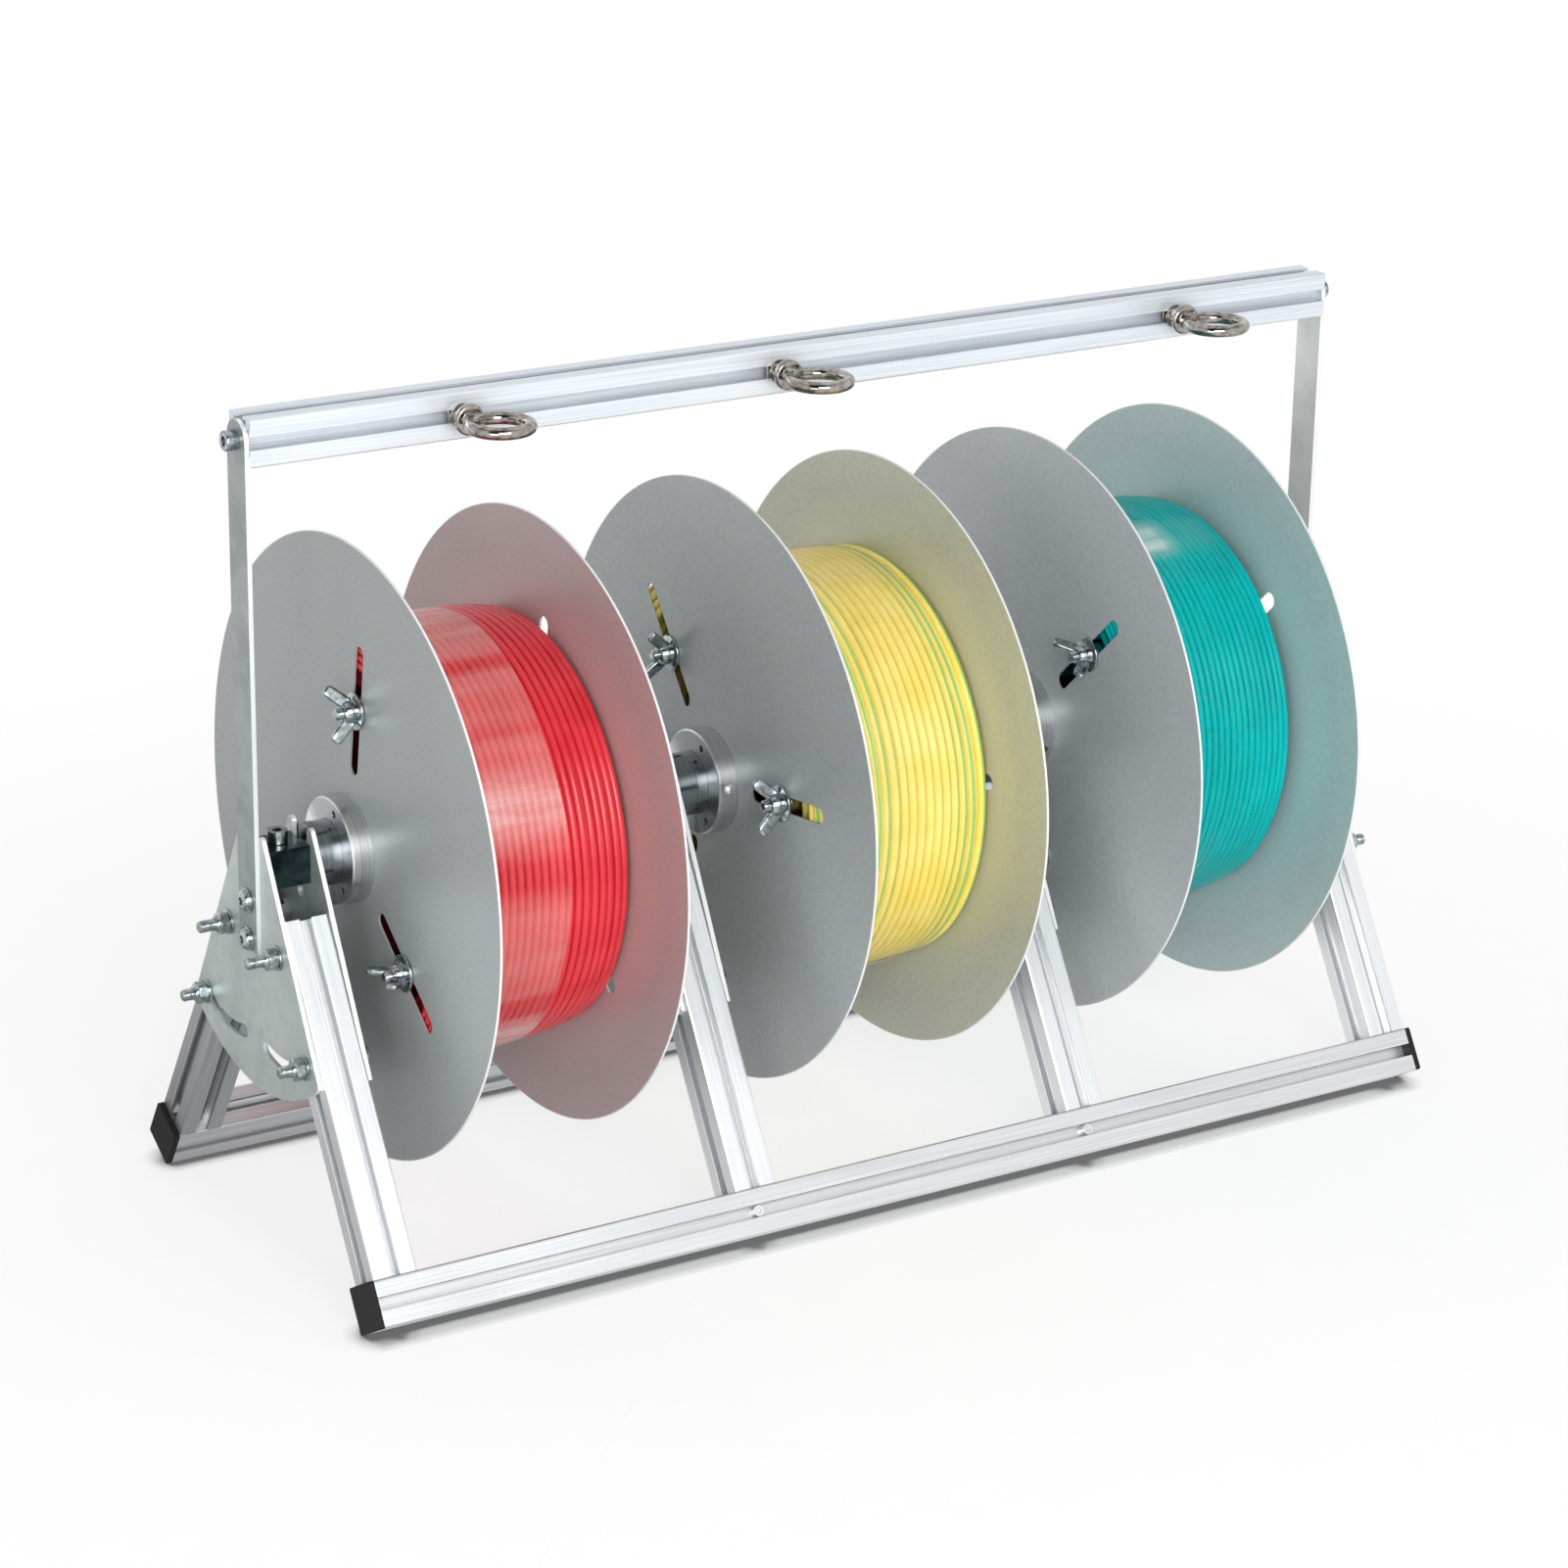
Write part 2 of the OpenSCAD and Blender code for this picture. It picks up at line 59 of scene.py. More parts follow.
# %% Sizes
LEG_ANGLE = math.radians(31)
FOOT_Z, FOOT_Y, CORNER_R = 235.5 * MM, 13.5 * MM, 1.5 * MM
PIVOT_Z = FOOT_Z * math.cos(LEG_ANGLE) + FOOT_Y * math.sin(LEG_ANGLE) + CORNER_R
PIVOT_Y = 35 * MM
AXLE_Z = PIVOT_Z + 49 * MM
TOP_Z = 532.5 * MM
PITCH = 770 / 3 * MM
LEG_X = [-385 * MM + PITCH * i for i in range(4)]
REEL_X = [-PITCH - 14 * MM, -7.3 * MM, PITCH - 14.5 * MM]
REEL_PHASE = [math.radians(a) for a in (98, 53, 136.5)]
REEL_W, FLANGE_T, FLANGE_R = 130 * MM, 1.5 * MM, 200 * MM
PLATE_OUT = 18.2 * MM
PIN_R = [95 * MM, 89 * MM, 96 * MM]
COIL_OUT = 140 * MM
print("pivot %.1f mm, axle %.1f mm above the floor" % (PIVOT_Z / MM, AXLE_Z / MM))


# %% [markdown]
# ## Small helpers for surfaces
# A surface is a grid of points, rows along one parameter and columns along the other. `grid_faces`
# joins the grid with quads; a closed direction joins its last line to its first.

# %% Surface helpers
def grid_faces(n, m, closed_u, closed_v):
    """Quads (i,j) (i+1,j) (i+1,j+1) (i,j+1) of an n by m grid; a closed direction wraps around."""
    i, j = np.meshgrid(np.arange(n if closed_u else n - 1), np.arange(m if closed_v else m - 1),
                       indexing="ij")
    i2, j2 = (i + 1) % n, (j + 1) % m
    return np.stack([i * m + j, i2 * m + j, i2 * m + j2, i * m + j2], -1).reshape(-1, 4)


def lathe(profile, turns=48):
    """Surface of revolution: point (s, r) of the profile goes to (s, r cos a, r sin a)."""
    s, r = np.array(profile, float).T
    a = np.arange(turns) / turns * TAU
    x = np.repeat(s[:, None], turns, 1)
    y, z = r[:, None] * np.cos(a), r[:, None] * np.sin(a)
    return np.stack([x, y, z], -1)


def rounds(*grids):
    """Grids of the first material that close around their axis and end in a pole at both ends."""
    return [(points, False, True, 0) for points in grids]


def placed(grids, matrix):
    """The grids of one piece, moved to their place by a 4 x 4 matrix."""
    m = np.array(matrix)
    return [(points @ m[:3, :3].T + m[:3, 3], *rest) for points, *rest in grids]


print("a disc of 4 rows and 48 columns has", len(grid_faces(4, 48, False, True)), "quads")


# %% [markdown]
# `make_piece` puts several grids into one mesh, because a screw, its nut and its washer are handled
# as one piece. It welds and turns the faces, hangs the piece under the empty of the body that
# carries it, and hides the CAD nodes that it stands for.

# %% Pieces
def weld_and_orient(mesh):
    """Merges the points that poles and seams share, then turns every face outward."""
    bm = bmesh.new()
    bm.from_mesh(mesh)
    bmesh.ops.remove_doubles(bm, verts=bm.verts, dist=1e-6)
    bmesh.ops.dissolve_degenerate(bm, edges=bm.edges, dist=1e-7)
    bmesh.ops.recalc_face_normals(bm, faces=bm.faces)
    bm.to_mesh(mesh)
    bm.free()


def make_piece(name, grids, materials, body, stands_for=(), uvs=None):
    """One mesh from grids [(points n x m x 3, closed_u, closed_v, material index), ...]."""
    verts, faces, index, start = [], [], [], 0
    for points, closed_u, closed_v, look in grids:
        n, m = points.shape[:2]
        quads = grid_faces(n, m, closed_u, closed_v) + start
        verts.append(points.reshape(-1, 3))
        faces.append(quads)
        index.append(np.full(len(quads), look))
        start += n * m
    verts, faces, index = np.concatenate(verts), np.concatenate(faces), np.concatenate(index)
    mesh = bpy.data.meshes.new(name)
    mesh.vertices.add(len(verts))
    mesh.vertices.foreach_set("co", verts.astype(np.float32).ravel())
    mesh.loops.add(faces.size)
    mesh.loops.foreach_set("vertex_index", faces.astype(np.int32).ravel())
    mesh.polygons.add(len(faces))
    mesh.polygons.foreach_set("loop_start", np.arange(0, faces.size, 4, dtype=np.int32))
    mesh.polygons.foreach_set("material_index", index.astype(np.int32))
    mesh.update(calc_edges=True)
    if uvs is not None:
        layer = mesh.uv_layers.new(name="wire")
        flat = np.concatenate([u.reshape(-1, 2) for u in uvs])[faces.ravel()]
        layer.data.foreach_set("uv", flat.astype(np.float32).ravel())
    for material in materials:
        mesh.materials.append(material)
    obj = bpy.data.objects.new(name, mesh)
    bpy.context.scene.collection.objects.link(obj)
    weld_and_orient(mesh)
    mesh.polygons.foreach_set("use_smooth", np.full(len(mesh.polygons), True))
    mesh.set_sharp_from_angle(angle=math.radians(38))
    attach(obj, body)
    if stands_for:
        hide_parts(*stands_for)
    print("%-22s %7d faces" % (name, len(mesh.polygons)))


# %% [markdown]
# ## Shader helpers
# Colours are written as sRGB hex values and turned into linear light by one function. `node` adds
# a shader node with its settings and links, so that a material reads like a recipe. A Map Range
# node takes (value, from low, from high, to low, to high) and clamps.

# %% Shader helpers
def srgb(hexa):
    """Linear RGBA of an sRGB hex colour: c/12.92 below 0.04045, else ((c+0.055)/1.055)^2.4."""
    c = np.array([int(hexa[i:i + 2], 16) / 255 for i in (0, 2, 4)])
    lin = np.where(c <= 0.04045, c / 12.92, ((c + 0.055) / 1.055) ** 2.4)
    return (*lin.tolist(), 1.0)


def per(size):
    """How many cells of a pattern of that size in millimetres fit into a metre: 1 / size."""
    return 1 / (size * MM)


def feed(tree, target, inputs):
    """Fills inputs of a node, given as a list in the node's order or as a dict by name. A socket or
    a node (its first output) is linked, a hex colour is made linear, and a number is set."""
    for key, value in inputs.items() if isinstance(inputs, dict) else enumerate(inputs):
        if isinstance(value, bpy.types.Node):
            value = value.outputs[0]
        if isinstance(value, bpy.types.NodeSocket):
            tree.links.new(value, target.inputs[key])
        else:
            target.inputs[key].default_value = srgb(value) if isinstance(value, str) else value


def node(tree, kind, inputs=(), stops=(), **settings):
    """Adds one shader node. The stops of a ramp are (position, colour), where the colour is a hex
    value, or a number for a grey of that strength."""
    new = tree.nodes.new("ShaderNode" + kind)
    for key, value in settings.items():
        setattr(new, key, value)
    if stops:
        elements = new.color_ramp.elements
        while len(elements) < len(stops):
            elements.new(0.5)
        for element, (position, colour) in zip(elements, stops):
            element.position = position
            element.color = srgb(colour) if isinstance(colour, str) else (colour,) * 3 + (1.0,)
    feed(tree, new, inputs)
    return new


print("mid grey 808080 is %.3f in linear light" % srgb("808080")[0])


# %% [markdown]
# All materials start alike and share a few measures: a stretched grain, which way a face looks, and
# how far a place is from the axle. `bump` ends a recipe, and also breaks the hard edges of a solid.

# %% Parts of a material
def new_material(name):
    """A material; returns it with its tree, its Principled shader and the Object coordinates."""
    material = bpy.data.materials.new(name)
    material.use_nodes = True
    tree = material.node_tree
    return material, tree, tree.nodes["Principled BSDF"], node(tree, "TexCoord").outputs["Object"]


def stretched(tree, where, scale, turn_x=0.0):
    """Coordinates turned about X and then scaled along each axis, for a texture with a grain."""
    level = node(tree, "Mapping", {"Vector": where, "Rotation": (turn_x, 0, 0)})
    return node(tree, "Mapping", {"Vector": level, "Scale": scale})


def facing_x(tree):
    """How much a face looks along the axle: the X of its normal, from -1 (left) to 1 (right)."""
    return node(tree, "SeparateXYZ", [node(tree, "NewGeometry").outputs["Normal"]]).outputs["X"]


def off_axle(tree, where):
    """The arrow from the axle to a place, square to the axle: (0, y, z - AXLE_Z)."""
    at_axle = node(tree, "VectorMath", [where, (0, 0, AXLE_Z)], operation="SUBTRACT")
    return node(tree, "VectorMath", [at_axle, (0, 1, 1)], operation="MULTIPLY")


def bump(tree, shader, height, distance, strength):
    """Bump of that height in metres; the Bevel node rounds hard edges by a hair first."""
    edge = node(tree, "Bevel", {"Radius": 0.4 * MM}, samples=4)
    feed(tree, shader, {"Normal": node(tree, "Bump", {
        "Height": height, "Distance": distance, "Strength": strength, "Normal": edge})})


# %% [markdown]
# ## Aluminium profile
# The rails and legs are pressed through a die, which leaves fine lines along the bar, and are then
# anodised to a bright, slightly milky metal. The grain is noise of about a millimetre, stretched a
# hundred times along the bar; it moves the colour and a bump of a few hundredths of a millimetre.
# Clouds of about 7 cm shift the roughness. The top rail and the legs of each frame meet the light
# at other angles, so each has its own pair of tones: painted light on the top rail and the front
# legs, painted shade on the rear legs.

# %% Aluminium
LINE_W, LINE_STRETCH = 1.11, 100  # real die lines are finer; these are as fine as still shows


def aluminium(name, along, turn_x=0.0, dark="ced2d5", light="e2e5e7", metallic=0.85):
    """Extruded, clear-anodised aluminium whose grain runs along axis number `along`."""
    material, tree, shader, where = new_material(name)
    scale = [per(LINE_W)] * 3
    scale[along] = per(LINE_W * LINE_STRETCH)
    grain = node(tree, "TexNoise", {"Vector": stretched(tree, where, scale, turn_x), "Scale": 1.0,
                                    "Detail": 3.0})
    cloud = node(tree, "TexNoise", {"Vector": where, "Scale": per(71.4)})
    feed(tree, shader, {
        "Base Color": node(tree, "ValToRGB", [grain], [(0.3, dark), (0.7, light)]),
        "Roughness": node(tree, "MapRange", [cloud, 0.3, 0.7, 0.34, 0.42]),
        "Metallic": metallic})  # the oxide layer takes some of the mirror away
    bump(tree, shader, grain, 0.03 * MM, 0.5)
    return material


rail_metal = aluminium("extruded_aluminium_rail", 0)
# Painted light on the top rail and the front legs, painted shade on the rear legs: lighter and darker
# tones of one anodised aluminium.
top_rail_metal_painted_light = aluminium("extruded_aluminium_top_rail_painted_light", 0, 0.0, "cbd2d8", "e2e7ed", 0.55)
front_leg_metal_painted_light = aluminium("extruded_aluminium_front_leg_painted_light", 2, LEG_ANGLE, "e0e3e6", "f3f5f7")
rear_leg_metal_painted_shade = aluminium("extruded_aluminium_rear_leg_painted_shade", 2, -LEG_ANGLE, "a9adb0", "c3c6c9")
print("materials so far:", len(bpy.data.materials))


# %% [markdown]
# ## Galvanised sheet
# The fan plates and the uprights are laser-cut sheet with a zinc coat. Zinc freezes in flat
# crystals, so the sheet shows pale green-grey patches of slightly different shine, about a
# centimetre across, under a soft veil. The narrow cut edges are bare, and their near-white colour is
# partly a painted highlight. The left uprights carry painted shade, the right ones painted light.

# %% Galvanised steel
def galvanised(name, tones):
    """Zinc-coated sheet: cell patches shift colour and roughness, soft noise lies over them."""
    material, tree, shader, where = new_material(name)
    wander = node(tree, "TexNoise", {"Vector": where, "Scale": per(16.7), "Detail": 2.0})
    shifted = node(tree, "MixRGB", [0.5, stretched(tree, where, [per(10.5)] * 3),
                                    wander.outputs["Color"]], blend_type="ADD")
    cells = node(tree, "TexVoronoi", {"Vector": shifted, "Scale": 1.0}).outputs["Color"]
    patch = node(tree, "RGBToBW", [cells])
    veil = node(tree, "TexNoise", {"Vector": where, "Scale": per(45.5), "Detail": 5.0})
    mixed = node(tree, "Mix", {"Factor": 0.78, "A": patch, "B": veil})
    coat = node(tree, "ValToRGB", [mixed], list(zip((0.3, 0.5, 0.7), tones)))
    # Faces whose normal lies across the axle, the cut edges, turn near-white: a bare edge brightened
    # into a painted highlight.
    side_on = node(tree, "Math", [facing_x(tree)], operation="ABSOLUTE")
    bare_edge_and_highlight = node(tree, "MapRange", [side_on, 0.4, 0.6, 1, 0])
    feed(tree, shader, {"Base Color": node(tree, "MixRGB", [bare_edge_and_highlight, coat, "eef0f0"]),
                        "Roughness": node(tree, "MapRange", [mixed, 0.3, 0.7, 0.5, 0.4]),
                        "Metallic": 0.6})
    bump(tree, shader, veil, 0.05 * MM, 0.4)
    return material


zinc_sheet = galvanised("galvanised_sheet", ("aeb8b6", "bac3c1", "c6cecc"))
# Painted shade on the left uprights and painted light on the right ones: darker and lighter tones of
# the same zinc.
zinc_bar_left_painted_shade = galvanised("zinc_upright_left_painted_shade", ("8d9594", "979f9e", "a2a9a8"))
zinc_bar_right_painted_light = galvanised("zinc_upright_right_painted_light", ("c8cdcb", "d1d5d3", "dadddb"))
print("materials so far:", len(bpy.data.materials))


# %% [markdown]
# ## Bright zinc, polished steel and the dark blocks
# Bolts and wing nuts are electroplated: a bright, faintly blue metal with small scratches. The
# ring bolts are polished. The sleeves and rings are turned on a lathe, so their lines run around
# the axle. The axle blocks are blackened steel, smooth enough to mirror the room.

# %% Fastener metals
def plated(name, light, dark, rough, blur=3.125, metallic=1.0):
    """Plated or polished steel: noise moves colour and roughness a little, and dents it. The real
    scratches are finer than a pixel, so they are drawn as soft marks of `blur` millimetres."""
    material, tree, shader, where = new_material(name)
    fine = node(tree, "TexNoise", {"Vector": where, "Scale": per(blur), "Detail": 4.0})
    feed(tree, shader, {
        "Base Color": node(tree, "ValToRGB", [fine], [(0.35, dark), (0.65, light)]),
        "Roughness": node(tree, "MapRange", [fine, 0.3, 0.7, rough * 0.7, rough * 1.4]),
        "Metallic": metallic})
    bump(tree, shader, fine, 0.02 * MM, 0.4)
    return material


def lathe_turned(name, dark, light, rough):
    """Turned metal: rings on the round side; on a flat face, outward streaks of painted sheen."""
    material, tree, shader, where = new_material(name)
    lines = stretched(tree, where, (per(0.385), per(167), per(167)))
    rings = node(tree, "TexNoise", {"Vector": lines, "Scale": 1.0, "Detail": 2.0})
    # Painted reflection: the outward streaks on a flat face stand in for the bow-tie sheen of turned
    # metal.
    outward = node(tree, "VectorMath", [off_axle(tree, where)], operation="NORMALIZE")
    bow_tie_sheen = node(tree, "TexNoise", {"Vector": outward, "Scale": 1.7, "Detail": 3.0})
    side_on = node(tree, "Math", [facing_x(tree)], operation="ABSOLUTE")
    shade = node(tree, "Mix", {"Factor": node(tree, "MapRange", [side_on, 0.8, 0.95, 0, 1]),
                               "A": rings,
                               "B": node(tree, "MapRange", [bow_tie_sheen, 0.35, 0.65, 0.0, 0.75])})
    feed(tree, shader, {
        "Base Color": node(tree, "ValToRGB", [shade], [(0.3, dark), (0.7, light)]),
        "Roughness": rough, "Metallic": 1.0})
    bump(tree, shader, rings, 0.02 * MM, 0.6)
    return material


bright_zinc = plated("bright_zinc_plate", "c3cacd", "8b9296", 0.18)
polished = plated("polished_steel_ring", "b5aea8", "7d7772", 0.1, 5.0)
sleeve_steel = lathe_turned("turned_steel_sleeve", "7f8589", "b9bfc4", 0.2)
ring_metal = lathe_turned("turned_aluminium_ring", "b4b6b7", "eceef0", 0.34)
screw_zinc = plated("zinc_flake_screw", "eceeef", "d9dcde", 0.4, metallic=0.7)
block_metal = plated("black_oxide_block", "33464a", "10181a", 0.12, 11.1, 0.8)
print("materials so far:", len(bpy.data.materials))


# %% [markdown]
# ## Powder-coated flanges
# The flanges are sheet discs with a grey semi-gloss coat. It has a soft orange peel, a fine
# speckle of 2 to 3 mm, and a thin bright rim: a cut edge, brightened as a painted highlight. The
# side of a right flange that looks at its coil takes on some of the wire's colour, most of all
# close to the coil. The light that does this is weaker in the render than on the real reel, so part
# of it is in the coat as painted bounce light, and that side is painted lighter and tinted as well.
# The sides that look left go from darker on the first reel to lighter on the third: painted light
# and shade that evens out how the reels shade each other.

# %% Flange paint
BOUNCE_REACH = 34 * MM


def flange_paint(name, left_tones, right_tones, bounce, share):
    """Grey powder coat. The tones are (dark, light) of the side that looks left and of the one that
    looks right; the left-looking ones carry painted light and shade. `share` of the bounce colour,
    painted bounce light, lies beside the coil and fades in BOUNCE_REACH."""
    material, tree, shader, where = new_material(name)
    radius = node(tree, "VectorMath", [off_axle(tree, where)], operation="LENGTH").outputs["Value"]
    # Painted highlight: the outer rim of the disc, over its last 0.8 mm, turns near-white.
    cut_rim_and_highlight = node(tree, "MapRange", [radius, FLANGE_R - 0.8 * MM, FLANGE_R - 0.2 * MM, 0, 1])
    speckle = node(tree, "TexNoise", {"Vector": where, "Scale": per(2.38), "Detail": 3.0})
    peel = node(tree, "TexNoise", {"Vector": where, "Scale": per(6.25)})
    left, right = (node(tree, "ValToRGB", [speckle], list(zip((0.3, 0.7), tones)))
                   for tones in (left_tones, right_tones))
    # Painted bounce light: the bounce colour is mixed into the side that looks left, strongest beside
    # the coil.
    near = node(tree, "MapRange", [radius, COIL_OUT, COIL_OUT + BOUNCE_REACH, share, 0])
    left = node(tree, "MixRGB", [near, left, bounce])
    which = node(tree, "MapRange", [facing_x(tree), -0.1, 0.1, 0, 1])
    coat = node(tree, "MixRGB", [which, left, right])
    feed(tree, shader, {"Base Color": node(tree, "MixRGB", [cut_rim_and_highlight, coat, "dfe1e1"]),
                        "Roughness": 0.4, "Metallic": 0.25})
    bump(tree, shader, peel, 0.04 * MM, 0.35)
    return material


GREY = ("a5aaaa", "b2b7b6")
# Painted light and shade: each reel's left-looking sides get their own tone pair, and the coil sides
# get lighter, tinted pairs.
OUTER_LIGHT_AND_SHADE_TONES = [("959a9a", "a1a6a5"), ("a2a7a7", "afb4b3"), ("aeb3b5", "bbc0c1")]
COIL_SIDE_PAINTED_LIGHT_TONES = [("a99a9a", "b7a5a5"), ("b0b2a6", "bec0b2"), ("a8b7b8", "b5c5c5")]
BOUNCE = ["e8bcbc", "ece6c8", "c2e4e4"]
flange_look = {}
for r in range(3):
    for side, tones, share in (("left", OUTER_LIGHT_AND_SHADE_TONES[r], 0.0), ("right", COIL_SIDE_PAINTED_LIGHT_TONES[r], 0.35)):
        flange_look["flange_%s_%d" % (side, r + 1)] = flange_paint(
            "grey_powder_coat_%s_%d" % (side, r + 1), tones, GREY, BOUNCE[r], share)
print("flange materials:", len(flange_look))


# %% [markdown]
# ## Black end caps
# Moulded polyethylene, matt with a leathery spark-eroded texture of less than a millimetre.

# %% Cap plastic
def cap_plastic():
    """Black moulded plastic: small cells give the texture of the mould."""
    material, tree, shader, where = new_material("black_moulded_cap")
    cells = node(tree, "TexVoronoi", {"Vector": where, "Scale": per(0.714)})
    feed(tree, shader, {
        "Base Color": node(tree, "ValToRGB", [cells], [(0.0, "060607"), (0.8, "101113")]),
        "Roughness": 0.5, "Specular IOR Level": 0.3})
    bump(tree, shader, cells, 0.05 * MM, 0.5)
    return material


cap_black = cap_plastic()
print("last material:", cap_black.name)

# %% [markdown]
# ## Materials on the CAD nodes
# Each CAD node gets the material of its real part. Rows of like parts share the start of their
# name, so one entry covers them; what no entry covers is a plated bolt or nut.

# %% Materials on the CAD nodes
FAMILY_LOOK = {"side_plate": zinc_sheet, "upright_l": zinc_bar_left_painted_shade, "upright_r": zinc_bar_right_painted_light,
               "top_rail": top_rail_metal_painted_light, "front_rail": rail_metal, "rear_rail": rail_metal,
               "front_leg": front_leg_metal_painted_light, "rear_leg": rear_leg_metal_painted_shade, "axle": sleeve_steel,
               "hub_rings": ring_metal, "sleeve": sleeve_steel, **flange_look}
EXACT_LOOK = {"front_end_caps": cap_black, "rear_end_caps": cap_black, "axle_blocks": block_metal,
              "front_leg_screws": screw_zinc, "rear_leg_screws": screw_zinc,
              "axle_lock_left": bright_zinc, "axle_lock_right": bright_zinc}
for name, obj in nodes.items():
    family = [look for start, look in FAMILY_LOOK.items() if name.startswith(start)]
    obj.data.materials.clear()
    obj.data.materials.append(EXACT_LOOK.get(name, (family + [bright_zinc])[0]))
print("materials:", len(bpy.data.materials), "on", len(nodes), "CAD nodes")


# %% [markdown]
# ## Wire insulation
# Each wire is copper in a PVC coat, smooth and slightly waxy. The green stripe of the yellow wire
# is pressed in with the coat, so it follows the wire and slowly turns around it: it is a band in
# the second texture coordinate, which runs around the wire.

# %% Wire materials
STRIPE_AT, STRIPE_HALF = 0.25, (0.045, 0.07)


def wire_coat(name, low, high, gloss, stripe=None):
    """PVC coat: blotches of 3 cm shift the colour; `stripe` draws a band around v = STRIPE_AT."""
    material, tree, shader, where = new_material(name)
    blotch = node(tree, "TexNoise", {"Vector": where, "Scale": per(28.6), "Detail": 3.0})
    colour = node(tree, "ValToRGB", [blotch], [(0.3, low), (0.7, high)])
    if stripe:
        v = node(tree, "SeparateXYZ", [node(tree, "UVMap", uv_map="wire")]).outputs["Y"]
        turn = node(tree, "Math", [v, 1.0], operation="FLOORED_MODULO")
        away = node(tree, "Math", [turn, STRIPE_AT], operation="SUBTRACT")
        away = node(tree, "Math", [away], operation="ABSOLUTE")
        band = node(tree, "MapRange", [away, *STRIPE_HALF, 1, 0])
        colour = node(tree, "MixRGB", [band, colour, stripe])
    feed(tree, shader, {"Base Color": colour, "Roughness": 0.27, "Specular IOR Level": gloss})
    fine = node(tree, "TexNoise", {"Vector": where, "Scale": per(2)})
    bump(tree, shader, fine, 0.02 * MM, 0.4)
    return material


wires = [wire_coat("red_pvc_wire", "c62530", "d4343e", 0.5),
         wire_coat("yellow_green_pvc_wire", "e9d258", "f1de7c", 0.3, "86c266"),
         wire_coat("teal_pvc_wire", "00a5a4", "00b2b0", 0.12)]
print("wires:", [material.name for material in wires])

# %% [markdown]
# ## The wound coils
# A winding machine lays the wire side by side. The outer layer is one long helix: with t counted
# in turns, the wire's middle is at x = x0 + p t, at radius R(t) and angle 2 pi t, and the coat is a
# circle around it. The pitch p is that of each coil, and a few small gaps are added to x where the
# real turns stand apart. R falls toward the right end. Below this layer only the end faces and the
# innermost layer can be seen, so those are rings of the same wire, and the rest is one plain ring.
# A little seeded wandering keeps it all from looking cast.

# %% Coil sizes
WIRE_R = [2.72 * MM, 3.05 * MM, 2.43 * MM]
TURNS = [22, 19, 24]
WIRE_PITCH = [5.62 * MM, 6.48 * MM, 5.0 * MM]
COIL_IN = [r + 9.6 * MM for r in PIN_R]
END_TURNS, END_FALL = 6, [6 * MM, 2 * MM, 4 * MM]
DEEP, DEEP_BELOW = 6 * MM, 118 * MM  # the left end face is set back inside this radius
GAPS = [[(14.4, 0.3), (16.2, 0.6), (18.8, 0.8)],  # (after this turn, this many millimetres)
        [(8.2, 0.3), (16.6, 2.2)],
        [(10.3, 0.3), (20.4, 0.8)]]
PER_TURN, AROUND = 120, 12
for r in range(3):
    print("outer layer %d: %.1f m of wire" % (r + 1, TAU * (COIL_OUT - WIRE_R[r]) * (TURNS[r] - 1)))


# %% Wire helpers
def fall(t, r):
    """How much lower the last turns of coil r lie: END_FALL ((t - start) / END_TURNS)^2."""
    past = np.clip(t - (TURNS[r] - END_TURNS) + 1, 0, END_TURNS) / END_TURNS
    return END_FALL[r] * past ** 2


def soft_wander(t, phases, waves):
    """Mean of three slow sine waves in t, one per phase, between -1 and 1."""
    return sum(np.sin(t * w + p) for w, p in zip(waves, phases)) / len(waves)


def wire_tube(x, radius, angle, coat):
    """Wire of radius `coat` whose middle is at (x, radius cos angle, radius sin angle)."""
    phi = np.arange(AROUND) / AROUND * TAU
    out = radius[:, None] + coat * np.sin(phi)
    px = x[:, None] + coat * np.cos(phi)
    return np.stack([px, out * np.cos(angle)[:, None], out * np.sin(angle)[:, None]], -1), phi


def first_wire(r):
    """Where the middle of the first turn of coil r is: beside the left flange."""
    return REEL_X[r] - REEL_W / 2 + FLANGE_T + WIRE_R[r] + 0.2 * MM


# %% The outer layer
def outer_layer(r, rng):
    """The helix of coil r with a pole at each end, its texture coordinates and its last x."""
    coat, last = WIRE_R[r], TURNS[r] - 1
    t = np.linspace(0.0, last, last * PER_TURN + 1)
    phases = rng.uniform(0, TAU, 3)
    sway = 0.3 * MM * soft_wander(t, phases, (0.9, 2.3, 6.3))
    sink = 0.25 * MM * (1 + soft_wander(t, phases[::-1], (1.7, 3.1, 5.9)))
    apart = sum(wide * MM * np.clip((t - start) / 0.5, 0, 1) for start, wide in GAPS[r])
    x = first_wire(r) + WIRE_PITCH[r] * t + apart + np.where((t > 0.6) & (t < last - 0.6), sway, 0)
    tube, phi = wire_tube(x, COIL_OUT - coat - fall(t, r) - sink, TAU * t + 1.5 * math.pi, coat)
    twist = 0.25 * (1 - np.cos(TAU * (t - 5.6) / 10.8))
    twist += 0.04 * soft_wander(t, phases, (0.7, 1.6, 3.9))
    ends = [np.repeat(tube[k:k + 1].mean(1, keepdims=True), AROUND, 1) for k in (0, len(t) - 1)]
    along = np.repeat((np.pad(t, 1, "edge") * TAU * COIL_OUT)[:, None], AROUND, 1)
    v = phi[None, :] / TAU + np.pad(twist, 1, "edge")[:, None]
    return np.concatenate([ends[0], tube, ends[1]]), np.stack([along, v], -1), x[-1]


